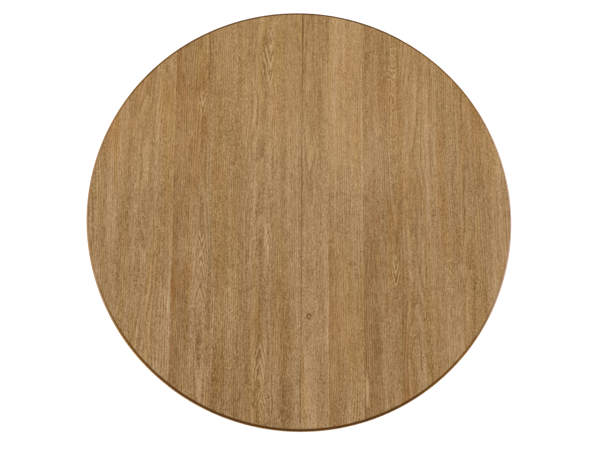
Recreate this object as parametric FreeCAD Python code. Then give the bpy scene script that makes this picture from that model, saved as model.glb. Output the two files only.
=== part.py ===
import FreeCAD, Part
import math
import os

# Round pedestal table whose top is split into two halves. The halves run on two sets of geared
# hardwood slides, so that they open by the same amount for a loose leaf. A turned column on four
# curved legs carries the slides. Millimetres; the origin is on the floor under the middle of the
# top, +Z is up, and the seam between the halves runs along Y. Left is -X, front is -Y.

Vector = FreeCAD.Vector
X_AXIS, Y_AXIS, Z_AXIS = Vector(1, 0, 0), Vector(0, 1, 0), Vector(0, 0, 1)
CENTRE = Vector(0, 0, 0)
LEFT, RIGHT = -1, 1
FRONT, REAR = -1, 1
SIDE_NAMES = {LEFT: "left", RIGHT: "right"}
END_NAMES = {FRONT: "front", REAR: "rear"}

# How far a cutting tool runs on past what it cuts
MARGIN = 1.0

# Whole table
TOP_RADIUS = 686.0
TABLE_HEIGHT = 762.0
TOP_THICKNESS = 28.0
SEAM_GAP = 0.6
UNDERSIDE = TABLE_HEIGHT - TOP_THICKNESS

# Edge of the top: a small step down from the flat, then a bead, a flat band and a round below
EDGE_STEP = 1.6
EDGE_BEAD_RADIUS = 8.0
EDGE_LOWER_RADIUS = 8.0
SEAM_CHAMFER = 0.9

# Joints between the glued boards of each half, as distances from the seam
BOARD_JOINTS = {LEFT: (95.0, 192.0, 285.0, 412.0, 494.0, 590.0),
                RIGHT: (88.0, 199.0, 319.0, 420.0, 518.0, 600.0)}

# Apron
APRON_OUTER_RADIUS = 606.0
APRON_THICKNESS = 20.0
APRON_HEIGHT = 78.0
APRON_BEAD_RADIUS, APRON_FACE_SET_BACK, APRON_STEP = 5.0, 2.5, 1.0
APRON_END_GAP = 0.8
APRON_INNER_RADIUS = APRON_OUTER_RADIUS - APRON_THICKNESS
BLOCK_ANGLES = (-68, -28, 28, 68)
BLOCK_LENGTH, BLOCK_DEPTH, BLOCK_HEIGHT = 64.0, 26.0, 34.0
BLOCK_SCREW_RADIUS, BLOCK_SCREW_INSET = 571.0, 10.0

# Slides: a fixed centre rail with a moving rail on each side of it
SLIDE_OFFSET = 175.0
RAIL_WIDTH = 30.0
RAIL_GAP = 0.3
MOVING_RAIL_BOTTOM = 691.0
MOVING_RAIL_OUTER_END = 520.0
MOVING_RAIL_INNER_END = 270.0
MOVING_RAIL_RELIEF, RELIEF_START = 1.0, -3.0
CENTRE_RAIL_BOTTOM = 690.0
CENTRE_RAIL_TOP = 731.0
CENTRE_RAIL_HALF_LENGTH = 350.0
RAIL_INNER_FACE = RAIL_WIDTH / 2 + RAIL_GAP
RAIL_OUTER_FACE = RAIL_INNER_FACE + RAIL_WIDTH
RAIL_ARRIS = 2.0

# Dovetail that joins the rails, measured from its middle height
DOVETAIL_Z = 702.0
DOVETAIL_DEPTH = 8.0
DOVETAIL_MOUTH, DOVETAIL_FLOOR = 4.5, 7.5
DOVETAIL_CLEARANCE = 0.35

# Racks and pinions
MODULE = 2.0
PINION_TEETH = 18
PRESSURE_ANGLE = math.radians(20)
TOOTH_BACKLASH = 0.16
ADDENDUM, DEDENDUM = MODULE, 1.25 * MODULE
PITCH_RADIUS = MODULE * PINION_TEETH / 2
TOOTH_PITCH = math.pi * MODULE
PINION_BOTTOM, PINION_THICKNESS = 716.0, 7.0
PINION_PIN_RADIUS, PINION_PIN_BOTTOM = 3.0, 697.0
THRUST_WASHER_RADIUS, THRUST_WASHER_PLAY = 8.0, 0.2
RUNNING_CLEARANCE = 0.05
RACK_BOTTOM, RACK_THICKNESS = 715.0, 7.0
RACK_REBATE_DEPTH, RACK_END_ROOM = 12.0, 6.0
RACK_FIRST_TOOTH, RACK_LAST_TOOTH = -2, 40
RACK_START, RACK_END = -24.0, 262.0
RACK_SCREW_X = (-16.0, 75.0, 165.0, 254.0)
POCKET_RADIUS, POCKET_FLOOR = 21.5, 714.0
STRAP_THICKNESS, STRAP_HALF_LENGTH, STRAP_HALF_WIDTH = 2.0, 46.0, 12.5
STRAP_SCREW_X = 37.0

# Bearers and cap between the column and the slides
BEARER_X, BEARER_WIDTH, BEARER_HEIGHT, BEARER_HALF_LENGTH = 80.0, 60.0, 35.0, 236.0
BEARER_TIP_HEIGHT, BEARER_STRAIGHT = 18.0, 130.0
BEARER_BOTTOM = CENTRE_RAIL_BOTTOM - BEARER_HEIGHT
CAP_SIDE, CAP_THICKNESS, CAP_CORNER_RADIUS = 250.0, 25.0, 14.0
CAP_CHAMFER = 12.0
CAP_BOTTOM = BEARER_BOTTOM - CAP_THICKNESS

# Column, from its hub upward: cove, lower ring, vase, neck ring and flared collar
COLUMN_BOTTOM = 88.0
HUB_RADIUS, HUB_TOP, HUB_FLAT, HUB_ROUND, HUB_CHAMFER = 84.0, 256.0, 76.0, 8.0, 4.0
COLUMN_BORE = 7.0
COVE_TOP_RADIUS, COVE_MIDDLE_RADIUS, COVE_HEIGHT = 60.0, 66.0, 22.0
RING_RADIUS, RING_INNER_RADIUS, RING_HALF_HEIGHT = 73.0, 64.0, 9.0
VASE_BOTTOM = 310.0
VASE = ((0.0, 58.0), (32.0, 76.0), (76.0, 86.0), (128.0, 78.0), (176.0, 59.0), (210.0, 52.0))
NECK_RING_RADIUS, NECK_RING_INNER_RADIUS, NECK_RING_HALF_HEIGHT = 63.0, 56.0, 7.0
COLLAR_BOTTOM, COLLAR_HEIGHT = 536.0, 58.0
COLLAR_RADII = (53.0, 58.0, 80.0)
COLUMN_HEAD_RADIUS = 86.0

# Legs, measured outward from the column's axis: distance, half width, underside and top
LEG_ANGLES = (45, 135, 225, 315)
LEG_JOINT_TOP = 240.0
LEG_SECTIONS = ((76.0, 31.0, 86.0, 240.0), (116.0, 30.0, 86.0, 237.0), (160.0, 27.0, 88.0, 217.0),
                (215.0, 24.0, 86.0, 170.0), (275.0, 21.5, 74.0, 118.0), (335.0, 20.0, 47.0, 80.0),
                (390.0, 18.5, 21.0, 53.0), (434.0, 15.0, 12.0, 37.0))
LEG_UPPER_ROUND, LEG_LOWER_ROUND = 10.0, 4.0
PAD_AT, PAD_RADIUS, PAD_BOTTOM = 434.0, 36.0, 6.0
PAD_CROWN, PAD_SHOULDER, PAD_WIDEST = 41.0, (24.0, 36.0), 20.0
PAD_LOWER_ROUND, PAD_FLAT_RADIUS = (35.0, 12.0), 31.0

# Glides under the foot pads
GLIDE_RADIUS, GLIDE_ROUND, GLIDE_SCREW_INSET = 20.0, 1.5, 1.5

# Battens, locks and alignment pins
BATTEN_Y, BATTEN_WIDTH, BATTEN_HEIGHT = 326.0, 52.0, 22.0
BATTEN_START, BATTEN_END, BATTEN_TAPER = 62.0, 452.0, 40.0
BATTEN_SCREW_X = (106.0, 257.0, 396.0)
LOCK_Y, LOCK_ARM, LOCK_OPEN_ANGLE = 410.0, 68.0, 90.0
LOCK_PLATE_THICKNESS, LOCK_PLATE_HALF_WIDTH = 2.5, 20.0
LEVER_BOTTOM, LEVER_THICKNESS, LEVER_HALF_WIDTH = 725.0, 4.0, 11.0
LEVER_BOSS_RADIUS, LEVER_NOSE = 13.0, 5.0
LEVER_TAIL, LEVER_TAIL_HALF_WIDTH = 46.0, 7.7
LEVER_TAB_DROP, LEVER_TAB_THICKNESS = 15.0, 3.0
LOCK_PLATE_CORNER_RADIUS = 5.0
LOCK_SCREW_X, LOCK_SCREW_Y = 14.0, 13.0
STUD_RADIUS, STUD_HEAD_RADIUS, STUD_HEAD_BOTTOM = 4.0, 7.0, 722.0
STUD_HEAD_HEIGHT, STUD_SPACER_HEIGHT = 2.5, 2.0
SLOT_HALF_WIDTH, SLOT_OVERRUN_ANGLE = 5.0, 2.0
PIN_Y = (-560.0, -280.0, 0.0, 280.0, 560.0)
PIN_RADIUS, PIN_INSIDE, PIN_PROUD = 5.0, 32.0, 24.0
PIN_NOSE_LENGTH, PIN_NOSE_RADIUS = 3.0, 3.0
BUSH_RADIUS, BUSH_BORE, BUSH_LENGTH = 7.5, 5.35, 27.0
PIN_Z = TABLE_HEIGHT - TOP_THICKNESS / 2

# Fixings
FIT = 0.1
SCREW_TIP_RADIUS = 0.2
RECESS_DEPTH, RECESS_REACH, RECESS_HALF_WIDTH = 0.55, 0.62, 0.13
WOOD_SCREW = {"shank": 2.2, "head": 4.6, "length": 40.0}
SHORT_SCREW = {"shank": 2.0, "head": 4.0, "length": 30.0}
SMALL_SCREW = {"shank": 1.4, "head": 2.7, "length": 13.0}
COUNTERBORE_RADIUS = 5.4
RAIL_COUNTERBORE_TOP = 706.0
RAIL_SCREW_X = (60.0, 185.0, 325.0, 460.0)
CENTRE_RAIL_SCREW_TOP = 712.0
CENTRE_RAIL_SCREW_SPREAD = 15.0
LAG_RADIUS, LAG_LENGTH, LAG_HEAD_FLATS, LAG_HEAD_HEIGHT = 4.0, 44.0, 13.0, 5.5
LAG_Y, LAG_SEAT, LAG_POCKET_RADIUS = 88.0, 683.0, 8.5
TIE_ROD_RADIUS, TIE_ROD_BOTTOM, TIE_ROD_TOP = 6.0, 69.0, 671.0
NUT_FLATS, NUT_HEIGHT = 19.0, 10.0
WASHER_RADIUS, WASHER_THICKNESS = 17.0, 2.5
DOWEL_RADIUS, DOWEL_LENGTH = 6.0, 50.0
LEG_DOWEL_Z = (126.0, 202.0)
CAP_DOWEL_RING, CAP_DOWEL_INTO_CAP = 55.0, 20.0
CAP_DOWEL_ANGLES = (0, 90, 180, 270)
SPIDER_THICKNESS, SPIDER_HUB_RADIUS, SPIDER_REACH, SPIDER_ARM_WIDTH = 4.0, 64.0, 146.0, 40.0
SPIDER_SCREW_AT = (98.0, 132.0)


def box(x0, x1, y0, y1, z0, z1):
    return Part.makeBox(x1 - x0, y1 - y0, z1 - z0, Vector(x0, y0, z0))


def cylinder(radius, base, height, axis=Z_AXIS):
    return Part.makeCylinder(radius, height, base, axis)


def line(a, b):
    return Part.LineSegment(a, b).toShape()


def arc(a, middle, b):
    return Part.Arc(a, middle, b).toShape()


def curve(points):
    spline = Part.BSplineCurve()
    spline.interpolate(points)
    return spline.toShape()


def quarter(centre, radius, start_degrees, sweep_degrees, plane):
    """A quarter-round edge; plane turns two numbers into a point."""
    at = [math.radians(start_degrees + sweep_degrees * share) for share in (0, 0.5, 1)]
    points = [plane(centre[0] + radius * math.cos(t), centre[1] + radius * math.sin(t)) for t in at]
    return arc(*points)


def in_section(radius, z):
    """A point of a turned section: distance from the axis, and height."""
    return Vector(radius, 0, z)


def face_of(edges):
    return Part.Face(Part.Wire(Part.__sortEdges__(edges)))


def polygon(points):
    return Part.Face(Part.makePolygon(list(points) + [points[0]]))


def hexagonal_prism(flats, base, height):
    radius = flats / math.sqrt(3)
    corners = [math.radians(60 * i) for i in range(6)]
    points = [base + Vector(radius * math.cos(t), radius * math.sin(t), 0) for t in corners]
    return polygon(points).extrude(Z_AXIS * height)


def turned_about_z(shape, degrees):
    copy = shape.copy()
    copy.rotate(CENTRE, Z_AXIS, degrees)
    return copy


def mirrored_in_x(shape):
    return shape.mirror(CENTRE, X_AXIS)


def mirrored_in_y(shape):
    return shape.mirror(CENTRE, Y_AXIS)


def upright_edges(shape):
    return [edge for edge in shape.Edges if abs(edge.tangentAt(edge.FirstParameter).z) > 0.9]


def fuse_all(shapes):
    first, *rest = shapes
    return first.multiFuse(rest) if rest else first


def cut_all(shape, tools):
    return shape.cut(Part.Compound(tools)) if tools else shape


def screw(point, direction, kind):
    """A countersunk screw: point is on its head's flat face, direction is +1 or -1 along Z."""
    axis = Z_AXIS * direction
    shank, head, length = kind["shank"], kind["head"], kind["length"]
    cone_height = head - shank
    tip_height = 2 * shank
    shank_base = point + axis * cone_height
    shank_length = length - cone_height - tip_height
    body = Part.makeCone(head, shank, cone_height, point, axis)
    body = body.fuse(cylinder(shank, shank_base, shank_length, axis))
    tip_base = shank_base + axis * shank_length
    body = body.fuse(Part.makeCone(shank, SCREW_TIP_RADIUS, tip_height, tip_base, axis))
    depth, reach, half = RECESS_DEPTH * cone_height, RECESS_REACH * head, RECESS_HALF_WIDTH * head
    low, high = sorted((point.z, point.z + direction * depth))
    x, y = point.x, point.y
    body = body.cut(box(x - reach, x + reach, y - half, y + half, low, high))
    return body.cut(box(x - half, x + half, y - reach, y + reach, low, high)).removeSplitter()


def screw_hole(point, direction, kind):
    """The countersunk hole that takes a screw with a little room all round."""
    axis = Z_AXIS * direction
    shank, head = kind["shank"] + FIT, kind["head"] + FIT
    hole = Part.makeCone(head, shank, head - shank, point, axis)
    return hole.fuse(cylinder(shank, point, kind["length"] + FIT, axis))


def counterbore(point, from_z):
    """The wide hole that lets a screw's head in from from_z to the head's face at point."""
    low, high = sorted((from_z, point.z))
    return cylinder(COUNTERBORE_RADIUS, Vector(point.x, point.y, low), high - low)


def save(name, *solids):
    shape = Part.Compound(list(solids)) if len(solids) > 1 else solids[0]
    shape.exportStep(os.path.join("parts", name + ".step"))
    print(name, len(shape.Solids), "solids", "valid" if shape.isValid() else "NOT VALID")


# ---------------------------------------------------------------- top


def top_section():
    r, z = TOP_RADIUS, TABLE_HEIGHT
    inner = r - EDGE_BEAD_RADIUS
    bead_z = z - EDGE_STEP - EDGE_BEAD_RADIUS
    lower_z = UNDERSIDE + EDGE_LOWER_RADIUS
    p = in_section
    return face_of([
        line(p(0, z), p(inner, z)),
        line(p(inner, z), p(inner, z - EDGE_STEP)),
        quarter((inner, bead_z), EDGE_BEAD_RADIUS, 90, -90, p),
        line(p(r, bead_z), p(r, lower_z)),
        quarter((r - EDGE_LOWER_RADIUS, lower_z), EDGE_LOWER_RADIUS, 0, -90, p),
        line(p(r - EDGE_LOWER_RADIUS, UNDERSIDE), p(0, UNDERSIDE)),
        line(p(0, UNDERSIDE), p(0, z)),
    ])


def half_ring(section, side):
    """A section turned through the half circle on one side of the seam."""
    start = 90 if side == LEFT else -90
    return turned_about_z(section, start).revolve(CENTRE, Z_AXIS, 180)


def seam_side(side, gap):
    """All the space from the seam to half the gap, which a half leaves clear."""
    reach = TOP_RADIUS + MARGIN
    x0, x1 = sorted((-side * MARGIN, side * gap / 2))
    return box(x0, x1, -reach, reach, 0, TABLE_HEIGHT + MARGIN)


def seam_chamfer(side):
    """The wedge taken off the upper arris along the seam."""
    x, z, reach = side * SEAM_GAP / 2, TABLE_HEIGHT, TOP_RADIUS + MARGIN
    size = SEAM_CHAMFER
    points = [Vector(x, -reach, z - size), Vector(x + side * size, -reach, z), Vector(x, -reach, z)]
    return polygon(points).extrude(Y_AXIS * 2 * reach)


def pin_sockets(side):
    radius, depth = {LEFT: (PIN_RADIUS, PIN_INSIDE), RIGHT: (BUSH_RADIUS, BUSH_LENGTH)}[side]
    return [cylinder(radius + FIT, Vector(0, y, PIN_Z), depth + FIT, X_AXIS * side) for y in PIN_Y]


def top_boards(side):
    """One half of the top as the boards it is glued up from, first the one at the seam."""
    half = half_ring(top_section(), side).cut(seam_side(side, SEAM_GAP)).cut(seam_chamfer(side))
    half = cut_all(half, pin_sockets(side) + top_screw_holes(side))
    joints = (0.0,) + BOARD_JOINTS[side] + (TOP_RADIUS + MARGIN,)
    boards = []
    for inner, outer in zip(joints, joints[1:]):
        x0, x1 = sorted((side * inner, side * outer))
        boards.append(half.common(box(x0, x1, -TOP_RADIUS, TOP_RADIUS, UNDERSIDE, TABLE_HEIGHT)))
    return boards


def alignment_pins():
    pins = []
    for y in PIN_Y:
        start = Vector(-PIN_INSIDE, y, PIN_Z)
        straight = PIN_INSIDE + PIN_PROUD - PIN_NOSE_LENGTH
        body = cylinder(PIN_RADIUS, start, straight, X_AXIS)
        nose_start = start + X_AXIS * straight
        nose = Part.makeCone(PIN_RADIUS, PIN_NOSE_RADIUS, PIN_NOSE_LENGTH, nose_start, X_AXIS)
        pins.append(body.fuse(nose))
    return pins


def pin_bushes():
    bushes = []
    for y in PIN_Y:
        start = Vector(SEAM_GAP / 2, y, PIN_Z)
        length = BUSH_LENGTH - SEAM_GAP / 2
        bushes.append(cylinder(BUSH_RADIUS, start, length, X_AXIS).cut(
            cylinder(BUSH_BORE, start, length, X_AXIS)))
    return bushes


# ---------------------------------------------------------------- apron


def apron_section():
    outer, inner = APRON_OUTER_RADIUS, APRON_INNER_RADIUS
    bottom = UNDERSIDE - APRON_HEIGHT
    bead = APRON_BEAD_RADIUS
    p = in_section
    face = outer - APRON_FACE_SET_BACK
    step = APRON_STEP
    bead_top = bottom + 2 * bead
    return face_of([
        line(p(inner, UNDERSIDE), p(face, UNDERSIDE)),
        line(p(face, UNDERSIDE), p(face, bead_top + step)),
        line(p(face, bead_top + step), p(face - step, bead_top)),
        line(p(face - step, bead_top), p(outer - bead, bead_top)),
        arc(p(outer - bead, bead_top), p(outer, bottom + bead), p(outer - bead, bottom)),
        line(p(outer - bead, bottom), p(inner, bottom)),
        line(p(inner, bottom), p(inner, UNDERSIDE)),
    ])


def apron(side):
    return half_ring(apron_section(), side).cut(seam_side(side, APRON_END_GAP))


def block_angle(side, angle):
    return angle if side == RIGHT else 180 + angle


def block_screw_point():
    return Vector(BLOCK_SCREW_RADIUS, 0, UNDERSIDE - BLOCK_HEIGHT + BLOCK_SCREW_INSET)


def glue_blocks(side):
    outer = APRON_INNER_RADIUS
    plain = box(outer - BLOCK_DEPTH, outer, -BLOCK_LENGTH / 2, BLOCK_LENGTH / 2,
                UNDERSIDE - BLOCK_HEIGHT, UNDERSIDE)
    plain = plain.common(cylinder(APRON_INNER_RADIUS, CENTRE, TABLE_HEIGHT))
    point = block_screw_point()
    plain = cut_all(plain, [screw_hole(point, 1, WOOD_SCREW),
                            counterbore(point, UNDERSIDE - BLOCK_HEIGHT)])
    return [turned_about_z(plain, block_angle(side, angle)) for angle in BLOCK_ANGLES]


def block_screw_points(side):
    points = []
    for angle in BLOCK_ANGLES:
        turn = math.radians(block_angle(side, angle))
        point = block_screw_point()
        points.append(Vector(point.x * math.cos(turn), point.x * math.sin(turn), point.z))
    return points


# ---------------------------------------------------------------- slides
# One slide set is drawn about its own centre line, with the rail of the left half on its +Y side.
# The right half's rail is the same part turned half round, and so is the rear set as a whole.


def in_slide(y, z):
    return Vector(0, y, z)


def moving_rail():
    rail = box(-MOVING_RAIL_OUTER_END, MOVING_RAIL_INNER_END, RAIL_INNER_FACE, RAIL_OUTER_FACE,
               MOVING_RAIL_BOTTOM, UNDERSIDE)
    tip = RAIL_WIDTH / 2 - DOVETAIL_DEPTH + DOVETAIL_CLEARANCE
    mouth, floor = DOVETAIL_MOUTH - DOVETAIL_CLEARANCE, DOVETAIL_FLOOR - DOVETAIL_CLEARANCE
    tongue = polygon([
        in_slide(RAIL_INNER_FACE, DOVETAIL_Z - mouth), in_slide(tip, DOVETAIL_Z - floor),
        in_slide(tip, DOVETAIL_Z + floor), in_slide(RAIL_INNER_FACE, DOVETAIL_Z + mouth),
    ])
    tongue.translate(X_AXIS * -CENTRE_RAIL_HALF_LENGTH)
    rail = rail.fuse(tongue.extrude(X_AXIS * (CENTRE_RAIL_HALF_LENGTH + MOVING_RAIL_INNER_END)))
    far = MOVING_RAIL_INNER_END + MARGIN
    relief = box(RELIEF_START, far, RAIL_INNER_FACE, RAIL_OUTER_FACE,
                 UNDERSIDE - MOVING_RAIL_RELIEF, UNDERSIDE)
    rebate = box(RACK_START - RACK_END_ROOM, far, RAIL_INNER_FACE, RAIL_INNER_FACE + RACK_REBATE_DEPTH,
                 RACK_BOTTOM, UNDERSIDE)
    holes = [screw_hole(p, 1, WOOD_SCREW) for p in rail_screw_points()]
    bores = [counterbore(p, MOVING_RAIL_BOTTOM) for p in rail_screw_points()]
    rack_holes = [screw_hole(p, -1, SMALL_SCREW) for p in rack_screw_points()]
    arris = rail_arris()
    return cut_all(rail, [relief, rebate, arris] + holes + bores + rack_holes).removeSplitter()


def rail_arris():
    """The chamfer along the lower outer edge of a moving rail."""
    y, z, size = RAIL_OUTER_FACE, MOVING_RAIL_BOTTOM, RAIL_ARRIS
    face = polygon([in_slide(y - size, z), in_slide(y, z), in_slide(y, z + size)])
    face.translate(X_AXIS * -(MOVING_RAIL_OUTER_END + MARGIN))
    return face.extrude(X_AXIS * (MOVING_RAIL_OUTER_END + MOVING_RAIL_INNER_END + 2 * MARGIN))


def rail_screw_points():
    y = (RAIL_INNER_FACE + RAIL_OUTER_FACE) / 2
    return [Vector(-x, y, RAIL_COUNTERBORE_TOP) for x in RAIL_SCREW_X]


def rack_screw_points():
    back = RAIL_INNER_FACE + RACK_REBATE_DEPTH
    y = (PITCH_RADIUS + DEDENDUM + back) / 2
    return [Vector(x, y, RACK_BOTTOM + RACK_THICKNESS) for x in RACK_SCREW_X]


def rack():
    """The toothed strip. The first and last teeth run on as plain ends, which stop the pinion."""
    back = RAIL_INNER_FACE + RACK_REBATE_DEPTH
    tip_y, root_y = PITCH_RADIUS - ADDENDUM, PITCH_RADIUS + DEDENDUM
    at_pitch = TOOTH_PITCH / 4 - TOOTH_BACKLASH / 2
    half_tip = at_pitch - ADDENDUM * math.tan(PRESSURE_ANGLE)
    half_root = at_pitch + DEDENDUM * math.tan(PRESSURE_ANGLE)
    z = RACK_BOTTOM
    points = [Vector(RACK_START, back, z), Vector(RACK_START, tip_y, z)]
    for tooth in range(RACK_FIRST_TOOTH, RACK_LAST_TOOTH + 1):
        x = tooth * TOOTH_PITCH
        if tooth > RACK_FIRST_TOOTH:
            points += [Vector(x - half_root, root_y, z), Vector(x - half_tip, tip_y, z)]
        if tooth < RACK_LAST_TOOTH:
            points += [Vector(x + half_tip, tip_y, z), Vector(x + half_root, root_y, z)]
    points += [Vector(RACK_END, tip_y, z), Vector(RACK_END, back, z)]
    strip = polygon(points).extrude(Z_AXIS * RACK_THICKNESS)
    return cut_all(strip, [screw_hole(p, -1, SMALL_SCREW) for p in rack_screw_points()])


def half_tooth_angle(radius):
    """Half the angle that a pinion tooth spans at a radius, from its involute flank."""
    def involute(angle):
        return math.tan(angle) - angle
    base = PITCH_RADIUS * math.cos(PRESSURE_ANGLE)
    at_pitch = math.pi / (2 * PINION_TEETH) - TOOTH_BACKLASH / (2 * PITCH_RADIUS)
    return at_pitch + involute(PRESSURE_ANGLE) - involute(math.acos(min(1, base / radius)))


def pinion():
    base = PITCH_RADIUS * math.cos(PRESSURE_ANGLE)
    tip, root = PITCH_RADIUS + ADDENDUM, PITCH_RADIUS - DEDENDUM
    flank = [base + (tip - base) * share for share in (0, 0.25, 0.5, 0.75, 1)]
    step = 2 * math.pi / PINION_TEETH

    def at(radius, angle):
        return Vector(radius * math.cos(angle), radius * math.sin(angle), PINION_BOTTOM)

    edges = []
    for tooth in range(PINION_TEETH):
        middle = tooth * step
        foot, crest = half_tooth_angle(base), half_tooth_angle(tip)
        rising = [at(r, middle - half_tooth_angle(r)) for r in flank]
        falling = [at(r, middle + half_tooth_angle(r)) for r in reversed(flank)]
        edges += [
            line(at(root, middle - foot), rising[0]),
            curve(rising),
            arc(at(tip, middle - crest), at(tip, middle), at(tip, middle + crest)),
            curve(falling),
            line(falling[-1], at(root, middle + foot)),
            arc(at(root, middle + foot), at(root, middle + step / 2), at(root, middle + step - foot)),
        ]
    gear = face_of(edges).extrude(Z_AXIS * PINION_THICKNESS)
    bore = PINION_PIN_RADIUS + RUNNING_CLEARANCE
    return gear.cut(cylinder(bore, Vector(0, 0, PINION_BOTTOM), PINION_THICKNESS))


def centre_rail():
    half = RAIL_WIDTH / 2
    rail = box(-CENTRE_RAIL_HALF_LENGTH, CENTRE_RAIL_HALF_LENGTH, -half, half,
               CENTRE_RAIL_BOTTOM, CENTRE_RAIL_TOP)
    floor = half - DOVETAIL_DEPTH
    groove_face = polygon([
        in_slide(half, DOVETAIL_Z - DOVETAIL_MOUTH), in_slide(floor, DOVETAIL_Z - DOVETAIL_FLOOR),
        in_slide(floor, DOVETAIL_Z + DOVETAIL_FLOOR), in_slide(half, DOVETAIL_Z + DOVETAIL_MOUTH),
    ])
    past_end = CENTRE_RAIL_HALF_LENGTH + MARGIN
    groove_face.translate(X_AXIS * -past_end)
    groove = groove_face.extrude(X_AXIS * 2 * past_end)
    pocket = cylinder(POCKET_RADIUS, Vector(0, 0, POCKET_FLOOR), CENTRE_RAIL_TOP - POCKET_FLOOR)
    pin_hole = cylinder(PINION_PIN_RADIUS + RUNNING_CLEARANCE, Vector(0, 0, PINION_PIN_BOTTOM - FIT),
                        POCKET_FLOOR - PINION_PIN_BOTTOM + MARGIN)
    holes = [screw_hole(p, -1, WOOD_SCREW) for p in centre_rail_screw_points()]
    bores = [counterbore(p, CENTRE_RAIL_TOP) for p in centre_rail_screw_points()]
    strap_holes = [screw_hole(p, -1, SMALL_SCREW) for p in strap_screw_points()]
    return cut_all(rail, [groove, turned_about_z(groove, 180), pocket, pin_hole]
                   + holes + bores + strap_holes).removeSplitter()


def centre_rail_screw_points():
    xs = [side * BEARER_X + step for side in (LEFT, RIGHT)
          for step in (-CENTRE_RAIL_SCREW_SPREAD, CENTRE_RAIL_SCREW_SPREAD)]
    return [Vector(x, 0, CENTRE_RAIL_SCREW_TOP) for x in xs]


def strap_screw_points():
    z = CENTRE_RAIL_TOP + STRAP_THICKNESS
    return [Vector(side * STRAP_SCREW_X, 0, z) for side in (LEFT, RIGHT)]


def strap():
    """The steel bridge over the pinion's pocket, which holds the top of its pin."""
    straight = STRAP_HALF_LENGTH - STRAP_HALF_WIDTH
    z = CENTRE_RAIL_TOP
    plate = box(-straight, straight, -STRAP_HALF_WIDTH, STRAP_HALF_WIDTH, z, z + STRAP_THICKNESS)
    ends = [cylinder(STRAP_HALF_WIDTH, Vector(side * straight, 0, z), STRAP_THICKNESS)
            for side in (LEFT, RIGHT)]
    holes = [screw_hole(p, -1, SMALL_SCREW) for p in strap_screw_points()]
    pin_hole = cylinder(PINION_PIN_RADIUS + RUNNING_CLEARANCE, Vector(0, 0, z), STRAP_THICKNESS)
    return cut_all(fuse_all([plate] + ends), holes + [pin_hole]).removeSplitter()


def pinion_pin():
    height = CENTRE_RAIL_TOP + STRAP_THICKNESS - PINION_PIN_BOTTOM
    return cylinder(PINION_PIN_RADIUS, Vector(0, 0, PINION_PIN_BOTTOM), height)


def thrust_washer():
    base = Vector(0, 0, POCKET_FLOOR)
    height = PINION_BOTTOM - POCKET_FLOOR - THRUST_WASHER_PLAY
    bore = cylinder(PINION_PIN_RADIUS + RUNNING_CLEARANCE, base, height)
    return cylinder(THRUST_WASHER_RADIUS, base, height).cut(bore)


def in_set(end, shape, turned=False):
    """Moves a shape of one slide set to the front or rear set; turned gives the opposite rail."""
    placed = turned_about_z(shape, 180) if turned else shape.copy()
    placed.translate(Y_AXIS * end * SLIDE_OFFSET)
    return placed


def point_in_set(end, point, turned=False):
    x, y = (-point.x, -point.y) if turned else (point.x, point.y)
    return Vector(x, y + end * SLIDE_OFFSET, point.z)


def slide_points(points, side):
    """Points on the moving rails of one half, in both slide sets."""
    return [point_in_set(end, p, side == RIGHT) for end in (FRONT, REAR) for p in points]


# ---------------------------------------------------------------- battens and locks


def batten_screw_points(side):
    seat = UNDERSIDE - BATTEN_HEIGHT
    return [Vector(side * x, end * BATTEN_Y, seat) for x in BATTEN_SCREW_X for end in (FRONT, REAR)]


def batten(side, end):
    """A stiffener across the boards of one half, thinned towards both ends."""
    bottom = UNDERSIDE - BATTEN_HEIGHT
    tip = UNDERSIDE - BATTEN_HEIGHT / 2
    face = polygon([
        Vector(BATTEN_START, 0, UNDERSIDE), Vector(BATTEN_END, 0, UNDERSIDE),
        Vector(BATTEN_END, 0, tip), Vector(BATTEN_END - BATTEN_TAPER, 0, bottom),
        Vector(BATTEN_START + BATTEN_TAPER / 2, 0, bottom), Vector(BATTEN_START, 0, tip),
    ])
    solid = face.extrude(Y_AXIS * BATTEN_WIDTH)
    solid.translate(Y_AXIS * (end * BATTEN_Y - BATTEN_WIDTH / 2))
    if side == LEFT:
        solid = mirrored_in_x(solid)
    return cut_all(solid, [screw_hole(p, 1, WOOD_SCREW) for p in batten_screw_points(side)])


def lock_plate_screw_points(side):
    x = side * LOCK_ARM / 2
    z = UNDERSIDE - LOCK_PLATE_THICKNESS
    return [Vector(x + across * LOCK_SCREW_X, -LOCK_Y + along * LOCK_SCREW_Y, z)
            for across in (-1, 1) for along in (-1, 1)]


def lock_plate(side):
    """The steel plate of the front lock on one half, with its post or stud and the stud's head."""
    x = side * LOCK_ARM / 2
    z = UNDERSIDE - LOCK_PLATE_THICKNESS
    half = LOCK_PLATE_HALF_WIDTH
    plate = box(x - half, x + half, -LOCK_Y - half, -LOCK_Y + half, z, UNDERSIDE)
    plate = plate.makeFillet(LOCK_PLATE_CORNER_RADIUS, upright_edges(plate))
    stud = cylinder(STUD_RADIUS, Vector(x, -LOCK_Y, STUD_HEAD_BOTTOM), z - STUD_HEAD_BOTTOM)
    head = cylinder(STUD_HEAD_RADIUS, Vector(x, -LOCK_Y, STUD_HEAD_BOTTOM), STUD_HEAD_HEIGHT)
    spacer_base = Vector(x, -LOCK_Y, z - STUD_SPACER_HEIGHT)
    spacer = cylinder(STUD_HEAD_RADIUS, spacer_base, STUD_SPACER_HEIGHT)
    holes = [screw_hole(p, 1, SMALL_SCREW) for p in lock_plate_screw_points(side)]
    return cut_all(fuse_all([plate, stud, head, spacer]), holes).removeSplitter()


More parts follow.
